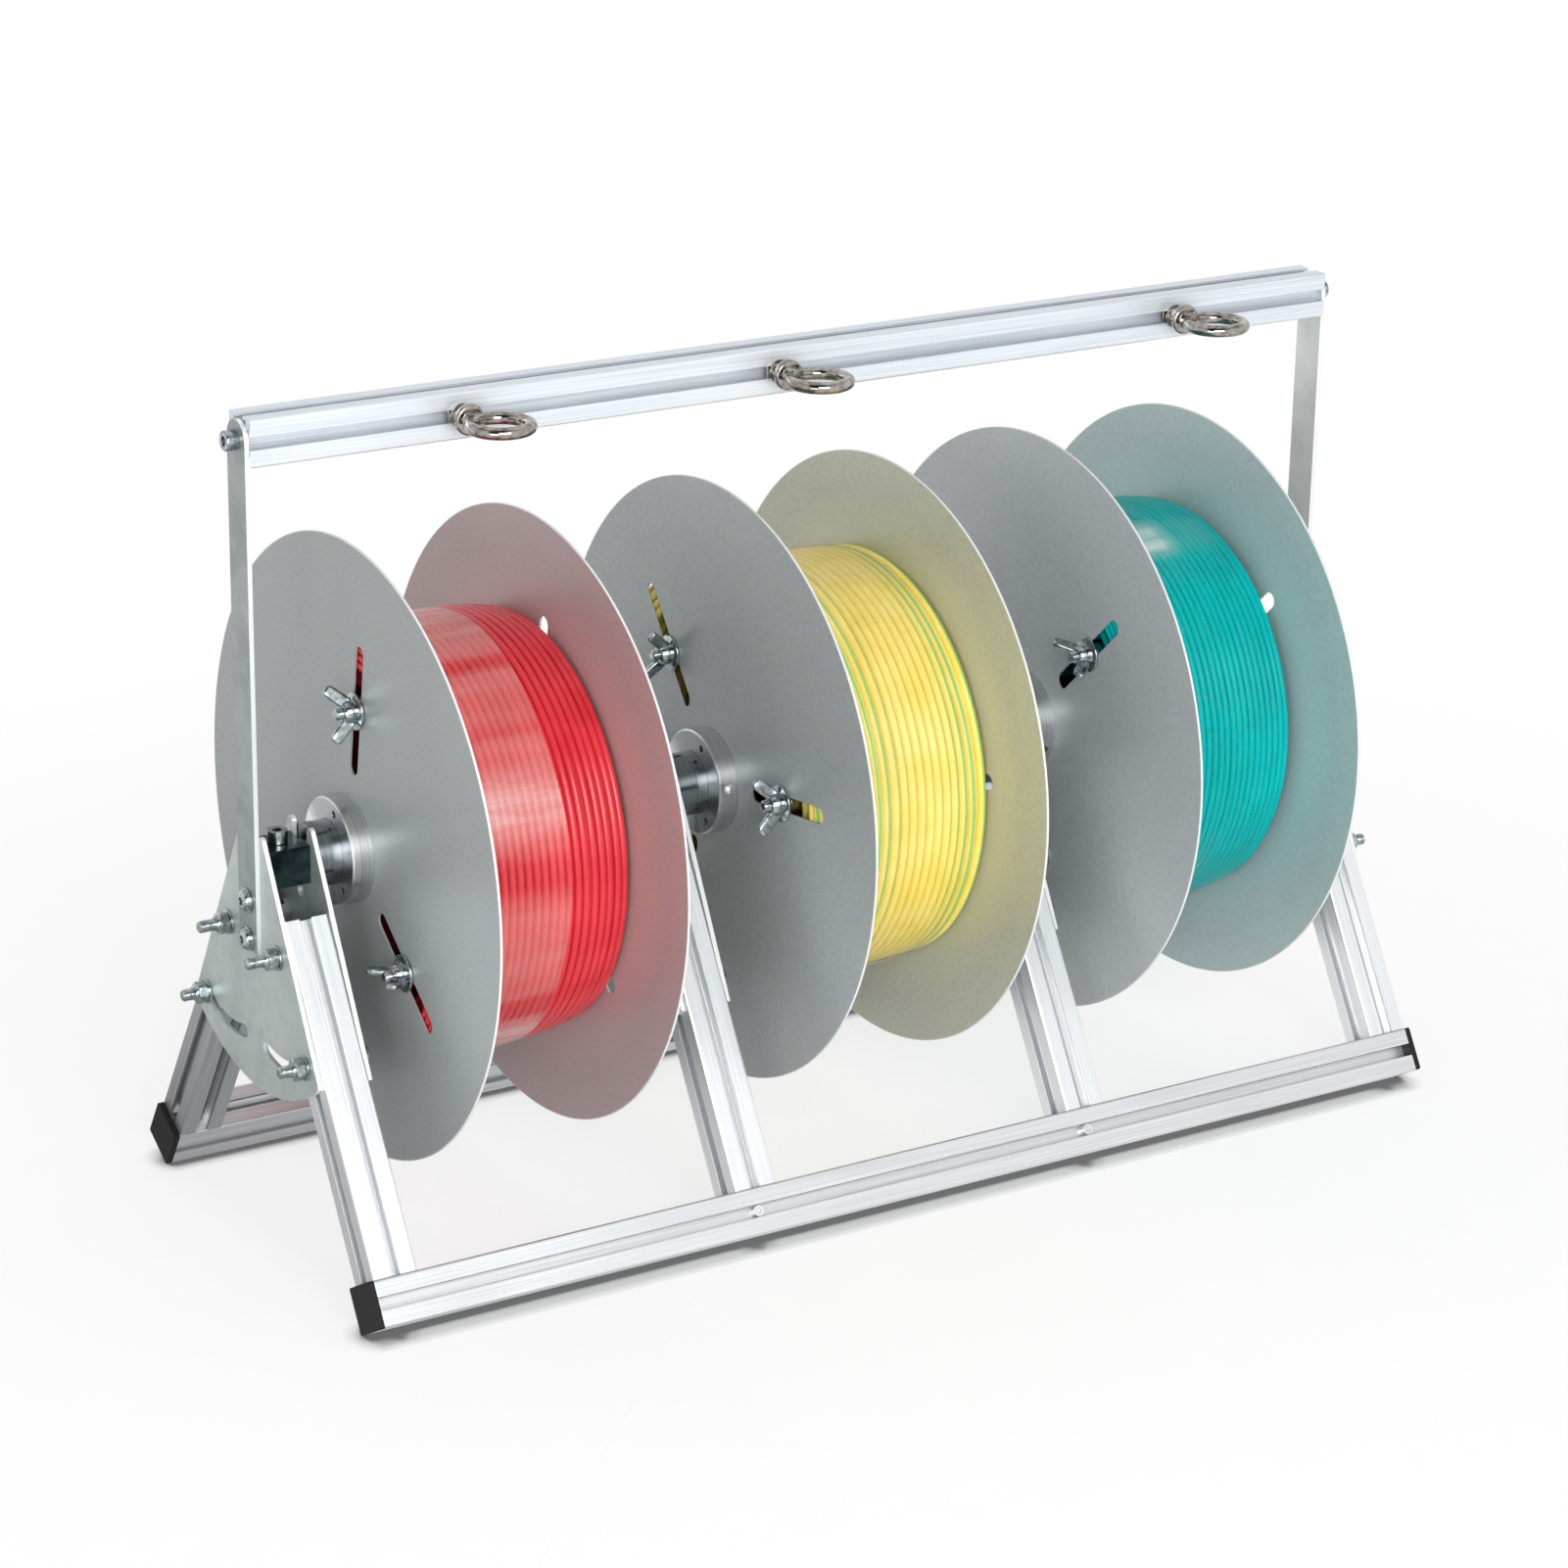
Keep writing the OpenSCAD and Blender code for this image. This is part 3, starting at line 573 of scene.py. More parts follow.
def coil_grids(r, rng):
    """Grids and texture coordinates of the outer helix and of the rings below it."""
    coat, x0 = WIRE_R[r], first_wire(r)
    tube, uv, x_end = outer_layer(r, rng)
    grids, uvs = rounds(tube), [uv]
    ring_a = np.arange(PER_TURN) / PER_TURN * TAU
    column = np.arange(COIL_IN[r] + coat, COIL_OUT - 2 * coat, 1.95 * coat)
    spots = [(x0 + (DEEP if q < DEEP_BELOW else 0), q) for q in column]
    spots += [(x_end, q) for q in column[column < COIL_OUT - END_FALL[r] - 2 * coat]]
    spots += [(x0 + WIRE_PITCH[r] * k, column[0]) for k in range(1, TURNS[r] - 1)]
    for x, q in spots:
        ring, phi = wire_tube(np.full(PER_TURN, x), np.full(PER_TURN, q), ring_a, coat)
        grids.append((ring, True, True, 0))
        uvs.append(np.stack(np.broadcast_arrays(ring_a[:, None] * q,
                                                phi[None, :] / TAU + rng.uniform()), -1))
    return grids, uvs


# %% Wound coils
def core_ring(r):
    """The hidden layers: a plain ring that reaches up into the grooves of the outer layer."""
    low, high = COIL_IN[r] + WIRE_R[r], COIL_OUT - 1.1 * WIRE_R[r]
    up = [(first_wire(r) + WIRE_PITCH[r] * k, high - fall(k, r)) for k in range(TURNS[r])]
    step = [(up[0][0] + DEEP, low), (up[0][0] + DEEP, DEEP_BELOW), (up[0][0], DEEP_BELOW)]
    return lathe(step + up + [(up[-1][0], low)], PER_TURN)


rng = np.random.default_rng(7)
at_axle = Matrix.Translation((0, 0, AXLE_Z))
for r in range(3):
    grids, uvs = coil_grids(r, rng)
    core = core_ring(r)
    grids.append((core, True, True, 0))
    uvs.append(np.zeros(core.shape[:2] + (2,)))
    make_piece("wound_wire_%d" % (r + 1), placed(grids, at_axle), [wires[r]], "reel_%d" % (r + 1),
               stands_for=["coil_%d" % (r + 1)], uvs=uvs)

# %% [markdown]
# ## Stretch film
# Shops wrap a wound reel in thin film. On the red reel it covers the left two thirds, on the yellow
# and the teal one nearly everything. It is clear where it lies flat on the wire and milky where it
# stands off. The haze is therefore a ramp over the angle around the coil, broken up by noise, and
# its brightest bands are partly painted highlights of the lamps on the film. Its stops are listed as
# degrees above the front of the coil, and the share that is milky.

# %% Film material
# Painted highlights: the highest stops of these ramps are partly reflections of the lamps, laid into
# the haze.
HAZE_AND_SHEEN_RED = [(-180, 0.2), (-95, 0.2), (-60, 0.34), (-47, 0.48), (-41, 0.28), (-38, 0.04),
            (-32, 0.04), (-28, 0.2), (-5, 0.23), (0, 0.13), (4, 0.02), (10, 0.02), (15, 0.18),
            (20, 0.38), (27, 0.42), (32, 0.26), (36, 0.19), (43, 0.17), (44, 0.06), (46, 0.17),
            (62, 0.22), (64, 0.04), (67, 0.04), (70, 0.24), (95, 0.36), (180, 0.2)]
HAZE_AND_SHEEN_YELLOW = [(-180, 0.04), (-90, 0.1), (-70, 0.55), (-62, 0.5), (-56, 0.12), (-40, 0.04),
               (-10, 0.05), (20, 0.1), (40, 0.05), (60, 0.1), (78, 0.16), (95, 0.1), (180, 0.04)]
HAZE_AND_SHEEN_TEAL = [(-180, 0.03), (-90, 0.1), (-64, 0.55), (-57, 0.4), (-50, 0.22), (-43, 0.08),
             (-24, 0.02), (-20, 0), (50, 0), (61, 0.02), (66, 0.55), (74, 0.5), (80, 0.03),
             (110, 0.05), (180, 0.03)]


def film_material(name, haze, reach, wire_glow_tint):
    """Clear film; haze is [(degrees above the front, share), ...], partly painted highlights; reach
    how far it goes across. Thin haze takes the tint, a painted glow of the wire's colour scattered in
    the film; thick haze turns white, as a painted highlight."""
    material, tree, shader, where = new_material(name)
    place = node(tree, "SeparateXYZ", [off_axle(tree, where)]).outputs
    front = node(tree, "Math", [place["Y"], -1.0], operation="MULTIPLY")
    angle = node(tree, "Math", [place["Z"], front], operation="ARCTAN2")
    veil = node(tree, "ValToRGB", [node(tree, "MapRange", [angle, -math.pi, math.pi, 0, 1])],
                [((above + 180) / 360, share) for above, share in haze])
    long_folds = stretched(tree, where, (per(71.4), per(11.1), per(11.1)))
    folds = node(tree, "TexNoise", {"Vector": long_folds, "Scale": 1.0, "Detail": 4.0,
                                    "Distortion": 0.4})
    uneven = node(tree, "MapRange", [folds, 0.3, 0.7, 0.75, 1.25])
    width = node(tree, "SeparateXYZ", [node(tree, "UVMap", uv_map="wire")]).outputs["Y"]
    across = node(tree, "MapRange", [width, reach, reach + 0.12, 1.0, 0.15])
    share = node(tree, "Math", [veil, uneven], operation="MULTIPLY")
    share = node(tree, "Math", [share, across], operation="MULTIPLY")
    # Painted highlight: where the milky share is high, its colour turns white.
    thick_haze_and_highlight = node(tree, "MapRange", [share, 0.35, 0.6, 0, 0.8])
    feed(tree, shader, {"Base Color": node(tree, "MixRGB", [thick_haze_and_highlight, wire_glow_tint, "fbfbfb"]),
                        "Roughness": 0.3})
    milky = node(tree, "MixShader", [share, node(tree, "BsdfTransparent"), shader])
    sheen = node(tree, "MapRange", [node(tree, "LayerWeight", {"Blend": 0.15}), 0.0, 1.0, 0.0, 0.3])
    gloss = node(tree, "BsdfGlossy", {"Roughness": 0.2})
    both = node(tree, "MixShader", [sheen, milky, gloss])
    feed(tree, tree.nodes["Material Output"], {"Surface": both})
    return material


def film_inside():
    """The inner side of the film lies on the wire and shows nothing of its own but a faint dust."""
    material, tree, shader, where = new_material("stretch_film_inside")
    dust = node(tree, "TexNoise", {"Vector": where, "Scale": per(3.33)})
    some = node(tree, "MapRange", [dust, 0.5, 0.8, 0, 0.03])
    both = node(tree, "MixShader", [some, node(tree, "BsdfTransparent"), shader])
    feed(tree, tree.nodes["Material Output"], {"Surface": both})
    return material


back_side = film_inside()
print("haze stops:", len(HAZE_AND_SHEEN_RED), len(HAZE_AND_SHEEN_YELLOW), len(HAZE_AND_SHEEN_TEAL))

# %% [markdown]
# The film hugs the wires: its radius is that of the coil plus a little, it dips between the turns,
# carries fine wrinkles and hangs loose below. It has an outer and an inner side, a film's
# thickness apart and joined at both edges, so that it is a closed body.

# %% Film
FILM_T, FILM_GAP, SAG = 0.06 * MM, 0.15 * MM, 2.5 * MM
SAG_AT, SAG_WIDTH = -72, 14  # degrees above the front of the coil
DIP = WRINKLE = 0.12 * MM
FILM_ROWS, FILM_COLUMNS = 90, 240


def film_grids(r, share, rng):
    """Film around coil r: R = coil + gap + wrinkle + dips + sag over its outer and inner side."""
    left = REEL_X[r] - REEL_W / 2 + FLANGE_T
    above = (np.arange(FILM_COLUMNS) / FILM_COLUMNS * 360 - 180)[None, :]
    a = np.radians(180 - above)
    u = np.linspace(0.0, 1.0, FILM_ROWS)[:, None]
    edge = share * TURNS[r] * (1 + 0.03 * soft_wander(a, rng.uniform(0, TAU, 3), (1, 2, 5)))
    t = u * edge
    wrinkle = WRINKLE * soft_wander(a, rng.uniform(0, TAU, 3), (7, 13, 29))
    sag = SAG * np.exp(-((above - SAG_AT) / SAG_WIDTH) ** 2)
    sag = sag * np.sin(math.pi * np.clip(u, 0, 1)) ** 0.5
    dips = DIP * np.cos(TAU * (t - 0.5))
    radius = COIL_OUT - fall(t - 0.5, r) + FILM_GAP + wrinkle + dips + sag
    x = left + 0.1 * MM + WIRE_PITCH[r] * t
    outer, inner = [np.stack([x, q * np.cos(a), AXLE_Z + q * np.sin(a)], -1)
                    for q in (radius, radius - FILM_T)]
    inner = np.concatenate([outer[-1:], inner[::-1], outer[:1]])
    uv = np.stack(np.broadcast_arrays((above + 180) / 360, u), -1)
    return ([(outer, False, True, 0), (inner, False, True, 1)],
            [uv, np.concatenate([uv[-1:], uv[::-1], uv[:1]])])


for r, colour, share, haze, reach, wire_glow_tint in ((0, "red", 0.645, HAZE_AND_SHEEN_RED, 1.0, "ffc2bb"),
                                            (1, "yellow", 0.93, HAZE_AND_SHEEN_YELLOW, 1.0, "fdf0cc"),
                                            (2, "teal", 0.9, HAZE_AND_SHEEN_TEAL, 0.6, "c8f2ea")):
    grids, uvs = film_grids(r, share, rng)
    look = film_material("stretch_film_" + colour, haze, reach, wire_glow_tint)
    make_piece("film_%d" % (r + 1), grids, [look, back_side], "reel_%d" % (r + 1),
               uvs=uvs)

# %% [markdown]
# ## Bolts and lock nuts
# A hexagon nut is a hexagon turned down by a cone at both ends, which leaves the curved edges that
# every nut has: r = min(hexagon(a), f/2 + s / tan 30). A thread is a helical ridge: the radius
# depends on the fraction of s/p - a/(2 pi), the place inside one pitch p.

# %% Nuts and threads
BOLT_R, THREAD_PITCH, THREAD_DEPTH = 4 * MM, 1.25 * MM, 0.6 * MM
NUT_FLATS, NUT_T = 13 * MM, 6.5 * MM
WASHER_R, WASHER_T = 8 * MM, 1.6 * MM
CONE_TAN = math.tan(math.radians(30))
around = np.arange(48) / 48 * TAU


def tube_from(s, r):
    """Grid from rows s and radii r(s, a): point (s, r cos a, r sin a)."""
    s = np.broadcast_to(np.asarray(s, float)[:, None], r.shape)
    return np.stack([s, r * np.cos(around), r * np.sin(around)], -1)


def hexagon(flats, turn):
    """Distance from the axis to a hexagon's side: (f/2) / cos(((a + 30) mod 60) - 30 degrees)."""
    a = (around + turn + math.pi / 6) % (math.pi / 3) - math.pi / 6
    return flats / 2 / np.cos(a)


def nut(start, length, turn=0.0):
    """Hexagon nut along X with both ends bevelled by a cone."""
    depth = (NUT_FLATS / math.sqrt(3) - NUT_FLATS / 2) * CONE_TAN
    bevel = np.linspace(0, depth, 4)
    s = np.concatenate([[0], bevel, length - bevel[::-1], [length]])
    cone = NUT_FLATS / 2 * 0.96 + np.minimum(s, length - s) / CONE_TAN
    r = np.minimum(hexagon(NUT_FLATS, turn)[None, :], cone[:, None])
    r[[0, -1]] = 0
    return tube_from(start + s, r)


def thread(start, length):
    """Threaded rod: r = R - d |2 frac(s/p - a/2pi) - 1|, tapered to a point at its start."""
    s = np.linspace(0, length, int(length / THREAD_PITCH * 6))
    inside = (s[:, None] / THREAD_PITCH - around[None, :] / TAU) % 1.0
    r = BOLT_R - THREAD_DEPTH * np.abs(2 * inside - 1)
    r = np.minimum(r, 2.6 * MM + s[:, None])
    r[[0, -1]] = 0
    return tube_from(start + s, r)


# %% Bars and washers
def bar(start, end, radius=BOLT_R):
    """Plain round bar along X with flat ends."""
    return lathe([(start, 0), (start, radius), (end, radius), (end, 0)])


def rounded_disc(start, length, radius, edge):
    """Flat disc along X with rounded rims."""
    q = np.linspace(0, math.pi / 2, 4)
    rim_s, rim_r = edge * (1 - np.cos(q)), radius - edge * (1 - np.sin(q))
    s = np.concatenate([[0], rim_s, length - rim_s[::-1], [length]])
    r = np.concatenate([[0], rim_r, rim_r[::-1], [0]])
    return lathe(list(zip(start + s, r)))


def washer(start):
    """Flat washer with its left face at x = start."""
    return rounded_disc(start, WASHER_T, WASHER_R, 0.3 * MM)


print("nut %.1f mm across corners" % (NUT_FLATS / MM / math.cos(math.pi / 6)))

# %% [markdown]
# ## Cross bolts
# Each leg turns on a pivot bolt, and a second bolt runs in the arc slot of the fan plates. Each has
# a flat head and a washer inside, and outside a washer, a lock nut with its domed crown, and a bare
# thread end. The last bolt of each row is turned round, so that its nut is on the outside too.

# %% Cross bolts
SLOT_BOLT = 70 * MM
HEAD_T = 3.7 * MM
PIVOT_TIP, SLOT_TIP = 21.5 * MM, 18 * MM
CROWN = MM * np.array([(-2, 3.6), (-1.9, 4.4), (-1.2, 5.0), (0, 5.2), (0, 0)])


def cross_bolt(out, tip, turn):
    """Bolt between x = -out - tip and its head at x = out: thread, crown, nut, washers and head."""
    nut_start = -out - WASHER_T - NUT_T
    return rounds(thread(-out - tip, tip - WASHER_T - NUT_T), lathe(CROWN + (nut_start, 0)),
                  nut(nut_start, NUT_T, turn), washer(-out - WASHER_T),
                  bar(nut_start, out + WASHER_T), washer(out), nut(out + WASHER_T, HEAD_T, -turn))


def bolt_row(y, z, out, tip):
    """Four bolts in a row along the stand; the last one is turned so that its nut is outside."""
    grids = []
    for i, x in enumerate(LEG_X):
        place = Matrix.Translation((x, y, z)) @ Matrix.Rotation(math.pi if i == 3 else 0, 4, "Z")
        grids += placed(cross_bolt(out, tip, rng.uniform(0, 1)), place)
    return grids


pivots = [grid for y in (-PIVOT_Y, PIVOT_Y) for grid in bolt_row(y, PIVOT_Z, PLATE_OUT, PIVOT_TIP)]
make_piece("pivot_bolt_set", pivots, [bright_zinc], "head", stands_for=["pivot_bolts"])
slot_y = PIVOT_Y + SLOT_BOLT * math.sin(LEG_ANGLE)
slot_z = PIVOT_Z - SLOT_BOLT * math.cos(LEG_ANGLE)
for side, name in ((-1, "front"), (1, "rear")):
    row = bolt_row(side * slot_y, slot_z, PLATE_OUT + 0.1 * MM, SLOT_TIP)
    make_piece(name + "_slot_bolt_set", row, [bright_zinc], name + "_frame",
               stands_for=[name + "_slot_bolts"])

# %% [markdown]
# ## Screws of the uprights
# Two button heads hold each upright to its plate, and a socket head screw goes into the end of the
# top rail. A socket head has a knurled rim: fine grooves in the radius, r = R - d |sin(n a)|.

# %% Upright screws
UPRIGHT_FACE = 406.2 * MM
BUTTON_DROPS = [22 * MM, 47.5 * MM]
KNURL_DEPTH, KNURL_HALF_WAVES = 0.18 * MM, 18


def button_head():
    """Domed head on a washer, seen from -X: the dome is a quarter ellipse with a round socket."""
    q = np.linspace(0, math.pi / 2, 8)
    dome = [(-1.6 - 3.2 * math.sin(b), 7 - 2.6 * (1 - math.cos(b))) for b in q]
    profile = [(-1.6, 0)] + dome + [(-4.8, 2.5), (-2.6, 2.4), (-2.6, 0)]
    return rounds(lathe(MM * np.array(profile)), bar(-WASHER_T, 16.5 * MM), washer(-WASHER_T),
                  nut(6.1 * MM, NUT_T))


def socket_head():
    """Knurled cylinder head with a hexagon socket, and its shank."""
    s = np.array([0, 0, 0.5, 6.6, 7.4, 8.0, 8.0, 4.2, 4.2]) * MM
    r = np.array([0, 6.2, 6.5, 6.5, 6.4, 5.9, 0, 0, 0]) * MM
    ring = np.repeat(r[:, None], len(around), 1)
    ring[2:4] -= KNURL_DEPTH * np.abs(np.sin(KNURL_HALF_WAVES * around))
    ring[6:8] = hexagon(6 * MM, 0.3)
    return rounds(tube_from(-s, ring), bar(0, 22 * MM))


heads = [(button_head(), AXLE_Z - drop) for drop in BUTTON_DROPS] + [(socket_head(), TOP_Z)]
screws = []
for flip in (0, math.pi):
    turn_round = Matrix.Rotation(flip, 4, "Z")
    for grids, z in heads:
        screws += placed(grids, turn_round @ Matrix.Translation((-UPRIGHT_FACE, 0, z)))
make_piece("upright_screw_set", screws, [bright_zinc], "head", stands_for=["upright_screws"])

# %% [markdown]
# ## Core pins with wing nuts
# Three pins carry each coil from inside: a tube between the flanges on a threaded stud, clamped by
# a wing nut. The wings are pressed bars with soft corners, which a superquadric gives in one
# formula: c(v) is sgn(cos v) |cos v|^e, and a small exponent e squares the ellipsoid.

# %% Wing nuts
WING_TURN = [[-30, -38, 20], [54, -98, 40], [-109, 60, -20]]
WING_FOOT, WING_TIP = np.array([4, 2]) * MM, np.array([16.7, 16.2]) * MM
WING_HUB = MM * np.array([(0, 0), (0, 7.2), (0.6, 7.5), (4, 7.1), (7.2, 6.2), (8, 5.4), (8, 0)])


def superquadric(size, exponent, rows=14, columns=24):
    """Soft box: (a c(u) c(v), b c(u) s(v), h s(u)) with c = sgn(cos)|cos|^e and s alike."""
    def power(q):
        return np.sign(q) * np.abs(q) ** exponent
    u = np.linspace(-math.pi / 2, math.pi / 2, rows)[:, None]
    v = (np.arange(columns) / columns * TAU)[None, :]
    x = size[0] * power(np.cos(u)) * power(np.cos(v))
    y = size[1] * power(np.cos(u)) * power(np.sin(v))
    z = size[2] * power(np.sin(u)) * np.ones_like(v)
    return np.stack([x, y, z], -1)


def wing_nut(face, turn):
    """Hub and two wings on the plane x = face, opening to -X; turn is counted from the radius."""
    grids = rounds(lathe(WING_HUB * (-1, 1) + (face, 0)))
    along = WING_TIP - WING_FOOT
    reach = float(np.hypot(*along))
    soft_bar = superquadric(((reach + 3 * MM) / 2, 1.9 * MM, 4 * MM), 0.4)
    middle = WING_FOOT + along / reach * (reach - 3 * MM) / 2
    lean = Matrix.Rotation(-math.atan2(along[1], along[0]), 4, "Y")
    (wing, *_), = placed(rounds(soft_bar), Matrix.Translation((middle[0], 0, middle[1])) @ lean)
    c, d = math.cos(turn), math.sin(turn)
    for s in (1, -1):
        radial, across, height = s * wing[..., 0], wing[..., 1], np.maximum(wing[..., 2], 0.5 * MM)
        grids += rounds(np.stack([face - height, radial * c - across * d,
                                  radial * d + across * c], -1))
    return grids


# %% Core pins
def core_pin(turn):
    """Pin along X about its own axis: tube, stud, round head on the right, wing nut on the left."""
    out, inside, soft = REEL_W / 2 + 0.1 * MM, REEL_W / 2 - FLANGE_T - 0.1 * MM, 0.4 * MM
    tube = [(-inside, 0), (-inside, 8.6 * MM), (-inside + soft, 9 * MM),
            (inside - soft, 9 * MM), (inside, 8.6 * MM), (inside, 0)]
    q = np.linspace(0, math.pi / 2, 7)
    head = [(out, 0)] + [(out + 4.5 * MM * math.sin(b), 4 * MM + 5 * MM * math.cos(b)) for b in q]
    head += [(out + 4.5 * MM, 2.4 * MM), (out + 2.4 * MM, 2.4 * MM), (out + 2.4 * MM, 0)]
    face = -out - 2 * MM
    return rounds(lathe(tube), lathe(head), bar(face, out), thread(face - 13 * MM, 13 * MM),
                  rounded_disc(face, 2 * MM, 12 * MM, 0.5 * MM)) + wing_nut(face, turn)


for r in range(3):
    for k in range(3):
        place = (Matrix.Translation((REEL_X[r], 0, AXLE_Z))
                 @ Matrix.Rotation(REEL_PHASE[r] + k * TAU / 3, 4, "X")
                 @ Matrix.Translation((0, PIN_R[r], 0)))
        name = "core_pin_%d_%d" % (r + 1, k + 1)
        make_piece("wing_" + name, placed(core_pin(math.radians(WING_TURN[r][k])), place),
                   [bright_zinc], name, stands_for=[name])

# %% [markdown]
# ## Ring bolts
# The wire runs through three polished ring bolts on the front of the top rail. The ring is a torus,
# the collar and neck are turned, and a hexagon nut with a washer clamps each one in the slot.

# %% Ring bolts
EYE_X = [-262 * MM, -34 * MM, 277 * MM]
EYE_R, EYE_TUBE, EYE_YAW = 18.5 * MM, 4 * MM, math.radians(24)
COLLAR_T, COLLAR_R = 5 * MM, 10 * MM
RAIL_FACE_Y = -15 * MM
NECK = MM * np.array([(0, 0), (0, 6.5), (3.5, 5.4), (6, 4.8), (9.5, 4.2), (9.5, 0)])


def torus(big, small, rows=72, columns=24):
    """Ring around Z: ((R + r cos v) cos u, (R + r cos v) sin u, r sin v)."""
    u = (np.arange(rows) / rows * TAU)[:, None]
    v = (np.arange(columns) / columns * TAU)[None, :]
    w = big + small * np.cos(v)
    return np.stack([w * np.cos(u), w * np.sin(u), small * np.sin(v) * np.ones_like(u)], -1)


def ring_bolt(turn):
    """Ring bolt along X from the rail face at x = 0 outwards; the ring lies in the X-Y plane."""
    collar = WASHER_T + NUT_T
    slot_nut = superquadric((1.3 * MM, 7.5 * MM, 7.0 * MM), 0.3) + (-3.5 * MM, 0, 0)
    ring = torus(EYE_R, EYE_TUBE) + (COLLAR_T / 2 + 3 * MM + EYE_R, 0, 0)
    yawed = Matrix.Translation((collar + COLLAR_T / 2, 0, 0)) @ Matrix.Rotation(EYE_YAW, 4, "Z")
    return (rounds(bar(-8 * MM, collar, 3.8 * MM), nut(WASHER_T, NUT_T, turn), washer(0.1 * MM),
                   rounded_disc(collar, COLLAR_T, COLLAR_R, 1.6 * MM), slot_nut)
            + placed(rounds(lathe(NECK)) + [(ring, True, True, 0)], yawed))


for k, x in enumerate(EYE_X):
    place = Matrix.Translation((x, RAIL_FACE_Y, TOP_Z)) @ Matrix.Rotation(-math.pi / 2, 4, "Z")
    make_piece("ring_bolt_%d" % (k + 1), placed(ring_bolt(rng.uniform(0, 1)), place), [polished],
               "eye_%d" % (k + 1), stands_for=["eye_bolt_%d" % (k + 1)])

# %% [markdown]
# ## Floor
# The stand was shot on white paper. Near the stand the paper has to take its shadow, and far off it
# has to be pure white in the picture without more light on the metal. So for rays that come from
# the camera a part of the paper glows by itself, all of it far away. It glows less where something
# touches the floor, within TOUCH, and its colour is painted darker there: a painted contact shadow,
# the thin dark line under the rails. In the mirror of the metal it glows too, brighter on the right
# than on the left.

# %% Floor
NEAR_WHITE, TOUCH = 0.75, 14 * MM
NEAR, FAR = 0.45, 1.1
TO_RIGHT = (0.85, -0.52, 0)
FLOOR_HALF = 60.0


def background_rays(tree):
    """1 for rays that show the background: straight to the camera, or in metal and clear film."""
    path = node(tree, "LightPath").outputs
    seen = node(tree, "Math", [path["Is Camera Ray"], path["Is Glossy Ray"]], operation="MAXIMUM")
    return node(tree, "Math", [seen, path["Is Transmission Ray"]], operation="MAXIMUM")


def studio_floor():
    """White paper: painted contact shadow where something touches it, soft shadow near the stand,
    white far off.
    """
    material, tree, shader, where = new_material("studio_paper")
    grain = node(tree, "TexNoise", {"Vector": where, "Scale": per(33.3)})
    paper = node(tree, "ValToRGB", [grain], [(0.3, "f6f6f6"), (0.7, "f9f9f9")])
    # Painted contact shadow: within TOUCH of something, the paper's colour is darkened towards black.
    touch = node(tree, "AmbientOcclusion", {"Distance": TOUCH}, samples=8).outputs["AO"]
    dark = node(tree, "MapRange", [touch, 0.5, 0.97, 0.9, 0.0])
    feed(tree, shader, {"Base Color": node(tree, "MixRGB", [dark, paper, "000000"]),
                        "Roughness": 0.9})
    distance = node(tree, "VectorMath", [where], operation="LENGTH").outputs["Value"]
    away = node(tree, "MapRange", [distance, NEAR, FAR, 0, 1])
    to_right = node(tree, "VectorMath", [where, TO_RIGHT], operation="DOT_PRODUCT").outputs["Value"]
    side = node(tree, "MapRange", [to_right, -0.5, 0.1, 0.3, 0.95])
    mirrored = node(tree, "Mix", {"Factor": away, "A": side, "B": 1.0})
    open_floor = node(tree, "Math", [1.0, dark], operation="SUBTRACT")
    near = node(tree, "Math", [open_floor, NEAR_WHITE], operation="MULTIPLY")
    seen = node(tree, "Mix", {"Factor": away, "A": near, "B": 1.0})
    direct = node(tree, "LightPath").outputs["Is Camera Ray"]
    share = node(tree, "Mix", {"Factor": direct, "A": background_rays(tree), "B": seen})
    level = node(tree, "Mix", {"Factor": direct, "A": mirrored, "B": 1.0})
    both = node(tree, "MixShader", [share, shader, node(tree, "Emission", ["ffffff", level])])
    feed(tree, tree.nodes["Material Output"], {"Surface": both})
    return material


corners = FLOOR_HALF * np.array([[-1, -1, 0], [1, -1, 0], [1, 1, 0], [-1, 1, 0]])
floor_mesh = bpy.data.meshes.new("floor")
floor_mesh.from_pydata(corners.tolist(), [], [(0, 1, 2, 3)])
floor_mesh.materials.append(studio_floor())
floor = bpy.data.objects.new("floor", floor_mesh)
bpy.context.scene.collection.objects.link(floor)
print("floor %.0f m wide" % (2 * FLOOR_HALF))


# %% [markdown]
# ## Lamps
# One wide lamp hangs above. A second one at the camera's height lights the front faces, and a weak
# one from the left lifts the flanges, which look away from the other two.

# %% Lamps
MIDDLE = (0, 0, 0.25)


def softbox(name, place, size, power):
    """Rectangular lamp at `place` that faces the stand, with its size in metres and its watts."""
    lamp = bpy.data.lights.new(name, "AREA")
    lamp.shape = "RECTANGLE"
    lamp.size, lamp.size_y = size
    lamp.energy = power
    obj = bpy.data.objects.new(name, lamp)
    obj.location = place
    obj.rotation_euler = (Vector(MIDDLE) - Vector(place)).to_track_quat("-Z", "Y").to_euler()
    bpy.context.scene.collection.objects.link(obj)
    print("%-12s %5.1f W" % (name, power))


softbox("top_light", (0.2, 0.4, 2.6), (2.6, 2.2), 10)
softbox("front_light", (-0.9, -2.8, 1.5), (1.8, 1.4), 70)
softbox("side_light", (-2.2, -1.9, 0.5), (1.2, 1.2), 18)

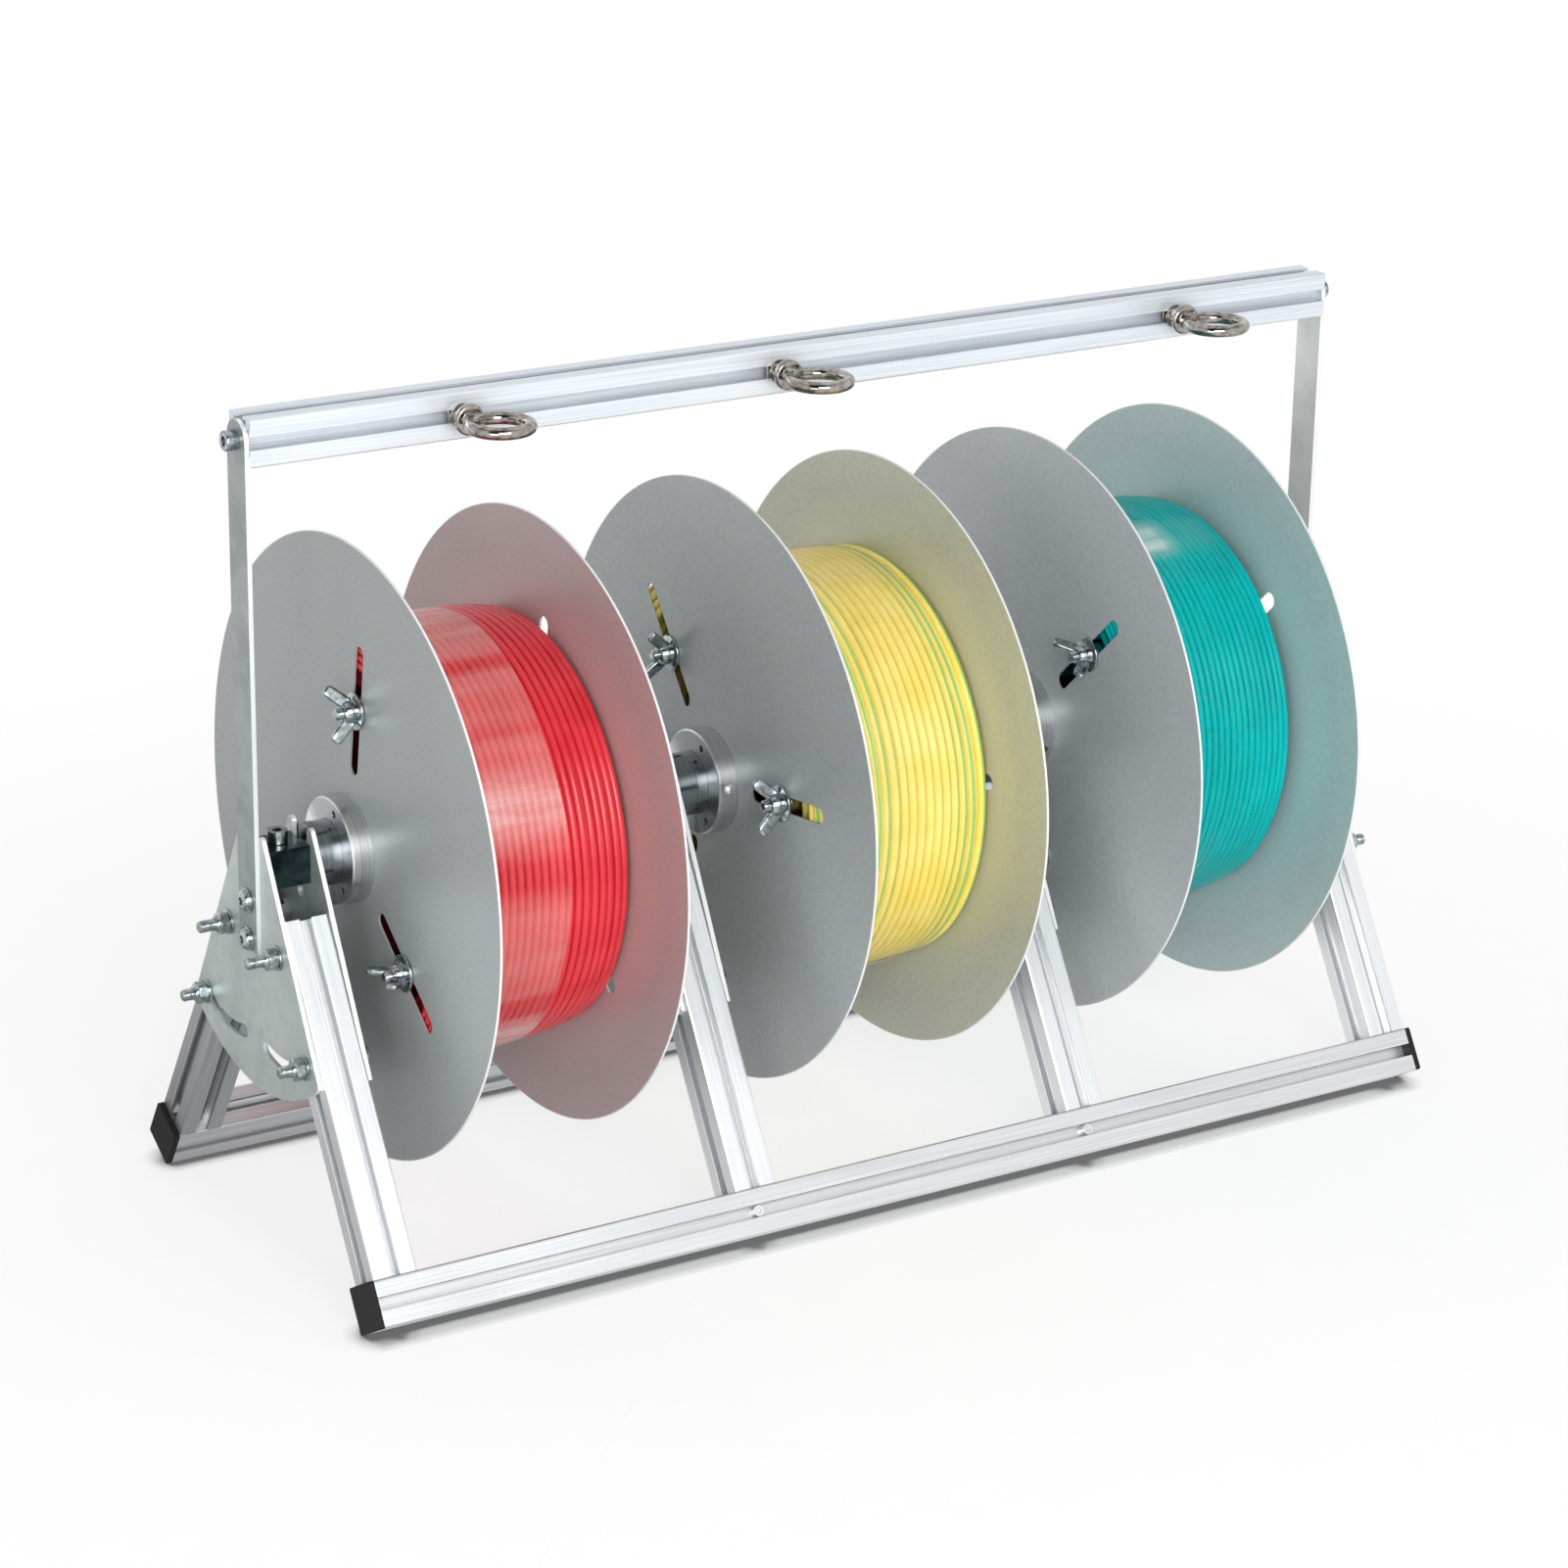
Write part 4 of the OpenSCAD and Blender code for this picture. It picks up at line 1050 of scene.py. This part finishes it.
# %% [markdown]
# ## Room
# The studio is white at the height of the table and greyer towards the ceiling. A black flag above
# the camera puts the dark lines into the bright metal. The left side of the room is dimmer.

# %% World
FLAG_SIDE = (-0.45, -0.66, 0.6)
FLAG_EDGE = (0.86, 0.9)
world = bpy.data.worlds.new("studio")
bpy.context.scene.world = world
world.use_nodes = True
tree = world.node_tree
sky = node(tree, "TexCoord").outputs["Generated"]
along = node(tree, "SeparateXYZ", [sky]).outputs
to_flag = node(tree, "VectorMath", [sky, FLAG_SIDE], operation="DOT_PRODUCT").outputs["Value"]
room = node(tree, "ValToRGB", [along["Z"]], [(0.55, "ffffff"), (0.85, "a8aaac")])
flag = node(tree, "MapRange", [to_flag, *FLAG_EDGE, 0, 0.94])
lit = node(tree, "MapRange", [along["X"], -0.95, -0.2, 0.45, 1.0])
strength = node(tree, "Mix", {"Factor": background_rays(tree), "A": lit, "B": 1.0})
feed(tree, tree.nodes["Background"],
     {"Color": node(tree, "MixRGB", [flag, room, "000000"]), "Strength": strength})
print("world nodes:", len(tree.nodes))

# %% [markdown]
# ## Camera
# The camera was solved from the straight rails and the outlines of the flanges: it stands low to
# the front left and looks 20 degrees down with a long lens. Its three axes are written as vectors.

# %% Camera
CAMERA_AT = (-1.493469, -2.374059, 1.253380)
SIDE = Vector((0.851959, -0.523365, 0.015993))
DOWN = Vector((-0.164704, -0.296856, -0.940611))
AHEAD = Vector((0.497030, 0.798728, -0.339109))
LENS_MM, SENSOR_MM = 103.04, 36.0
lens = bpy.data.cameras.new("camera")
lens.lens, lens.sensor_width, lens.clip_end = LENS_MM, SENSOR_MM, 200.0
camera = bpy.data.objects.new("camera", lens)
axes = Matrix((SIDE, -DOWN, -AHEAD)).transposed().to_4x4()
camera.matrix_world = Matrix.Translation(CAMERA_AT) @ axes
bpy.context.scene.collection.objects.link(camera)
bpy.context.scene.camera = camera
bpy.context.scene.view_settings.view_transform = "Standard"
print("looks down by %.1f degrees" % math.degrees(math.asin(-AHEAD.z)))
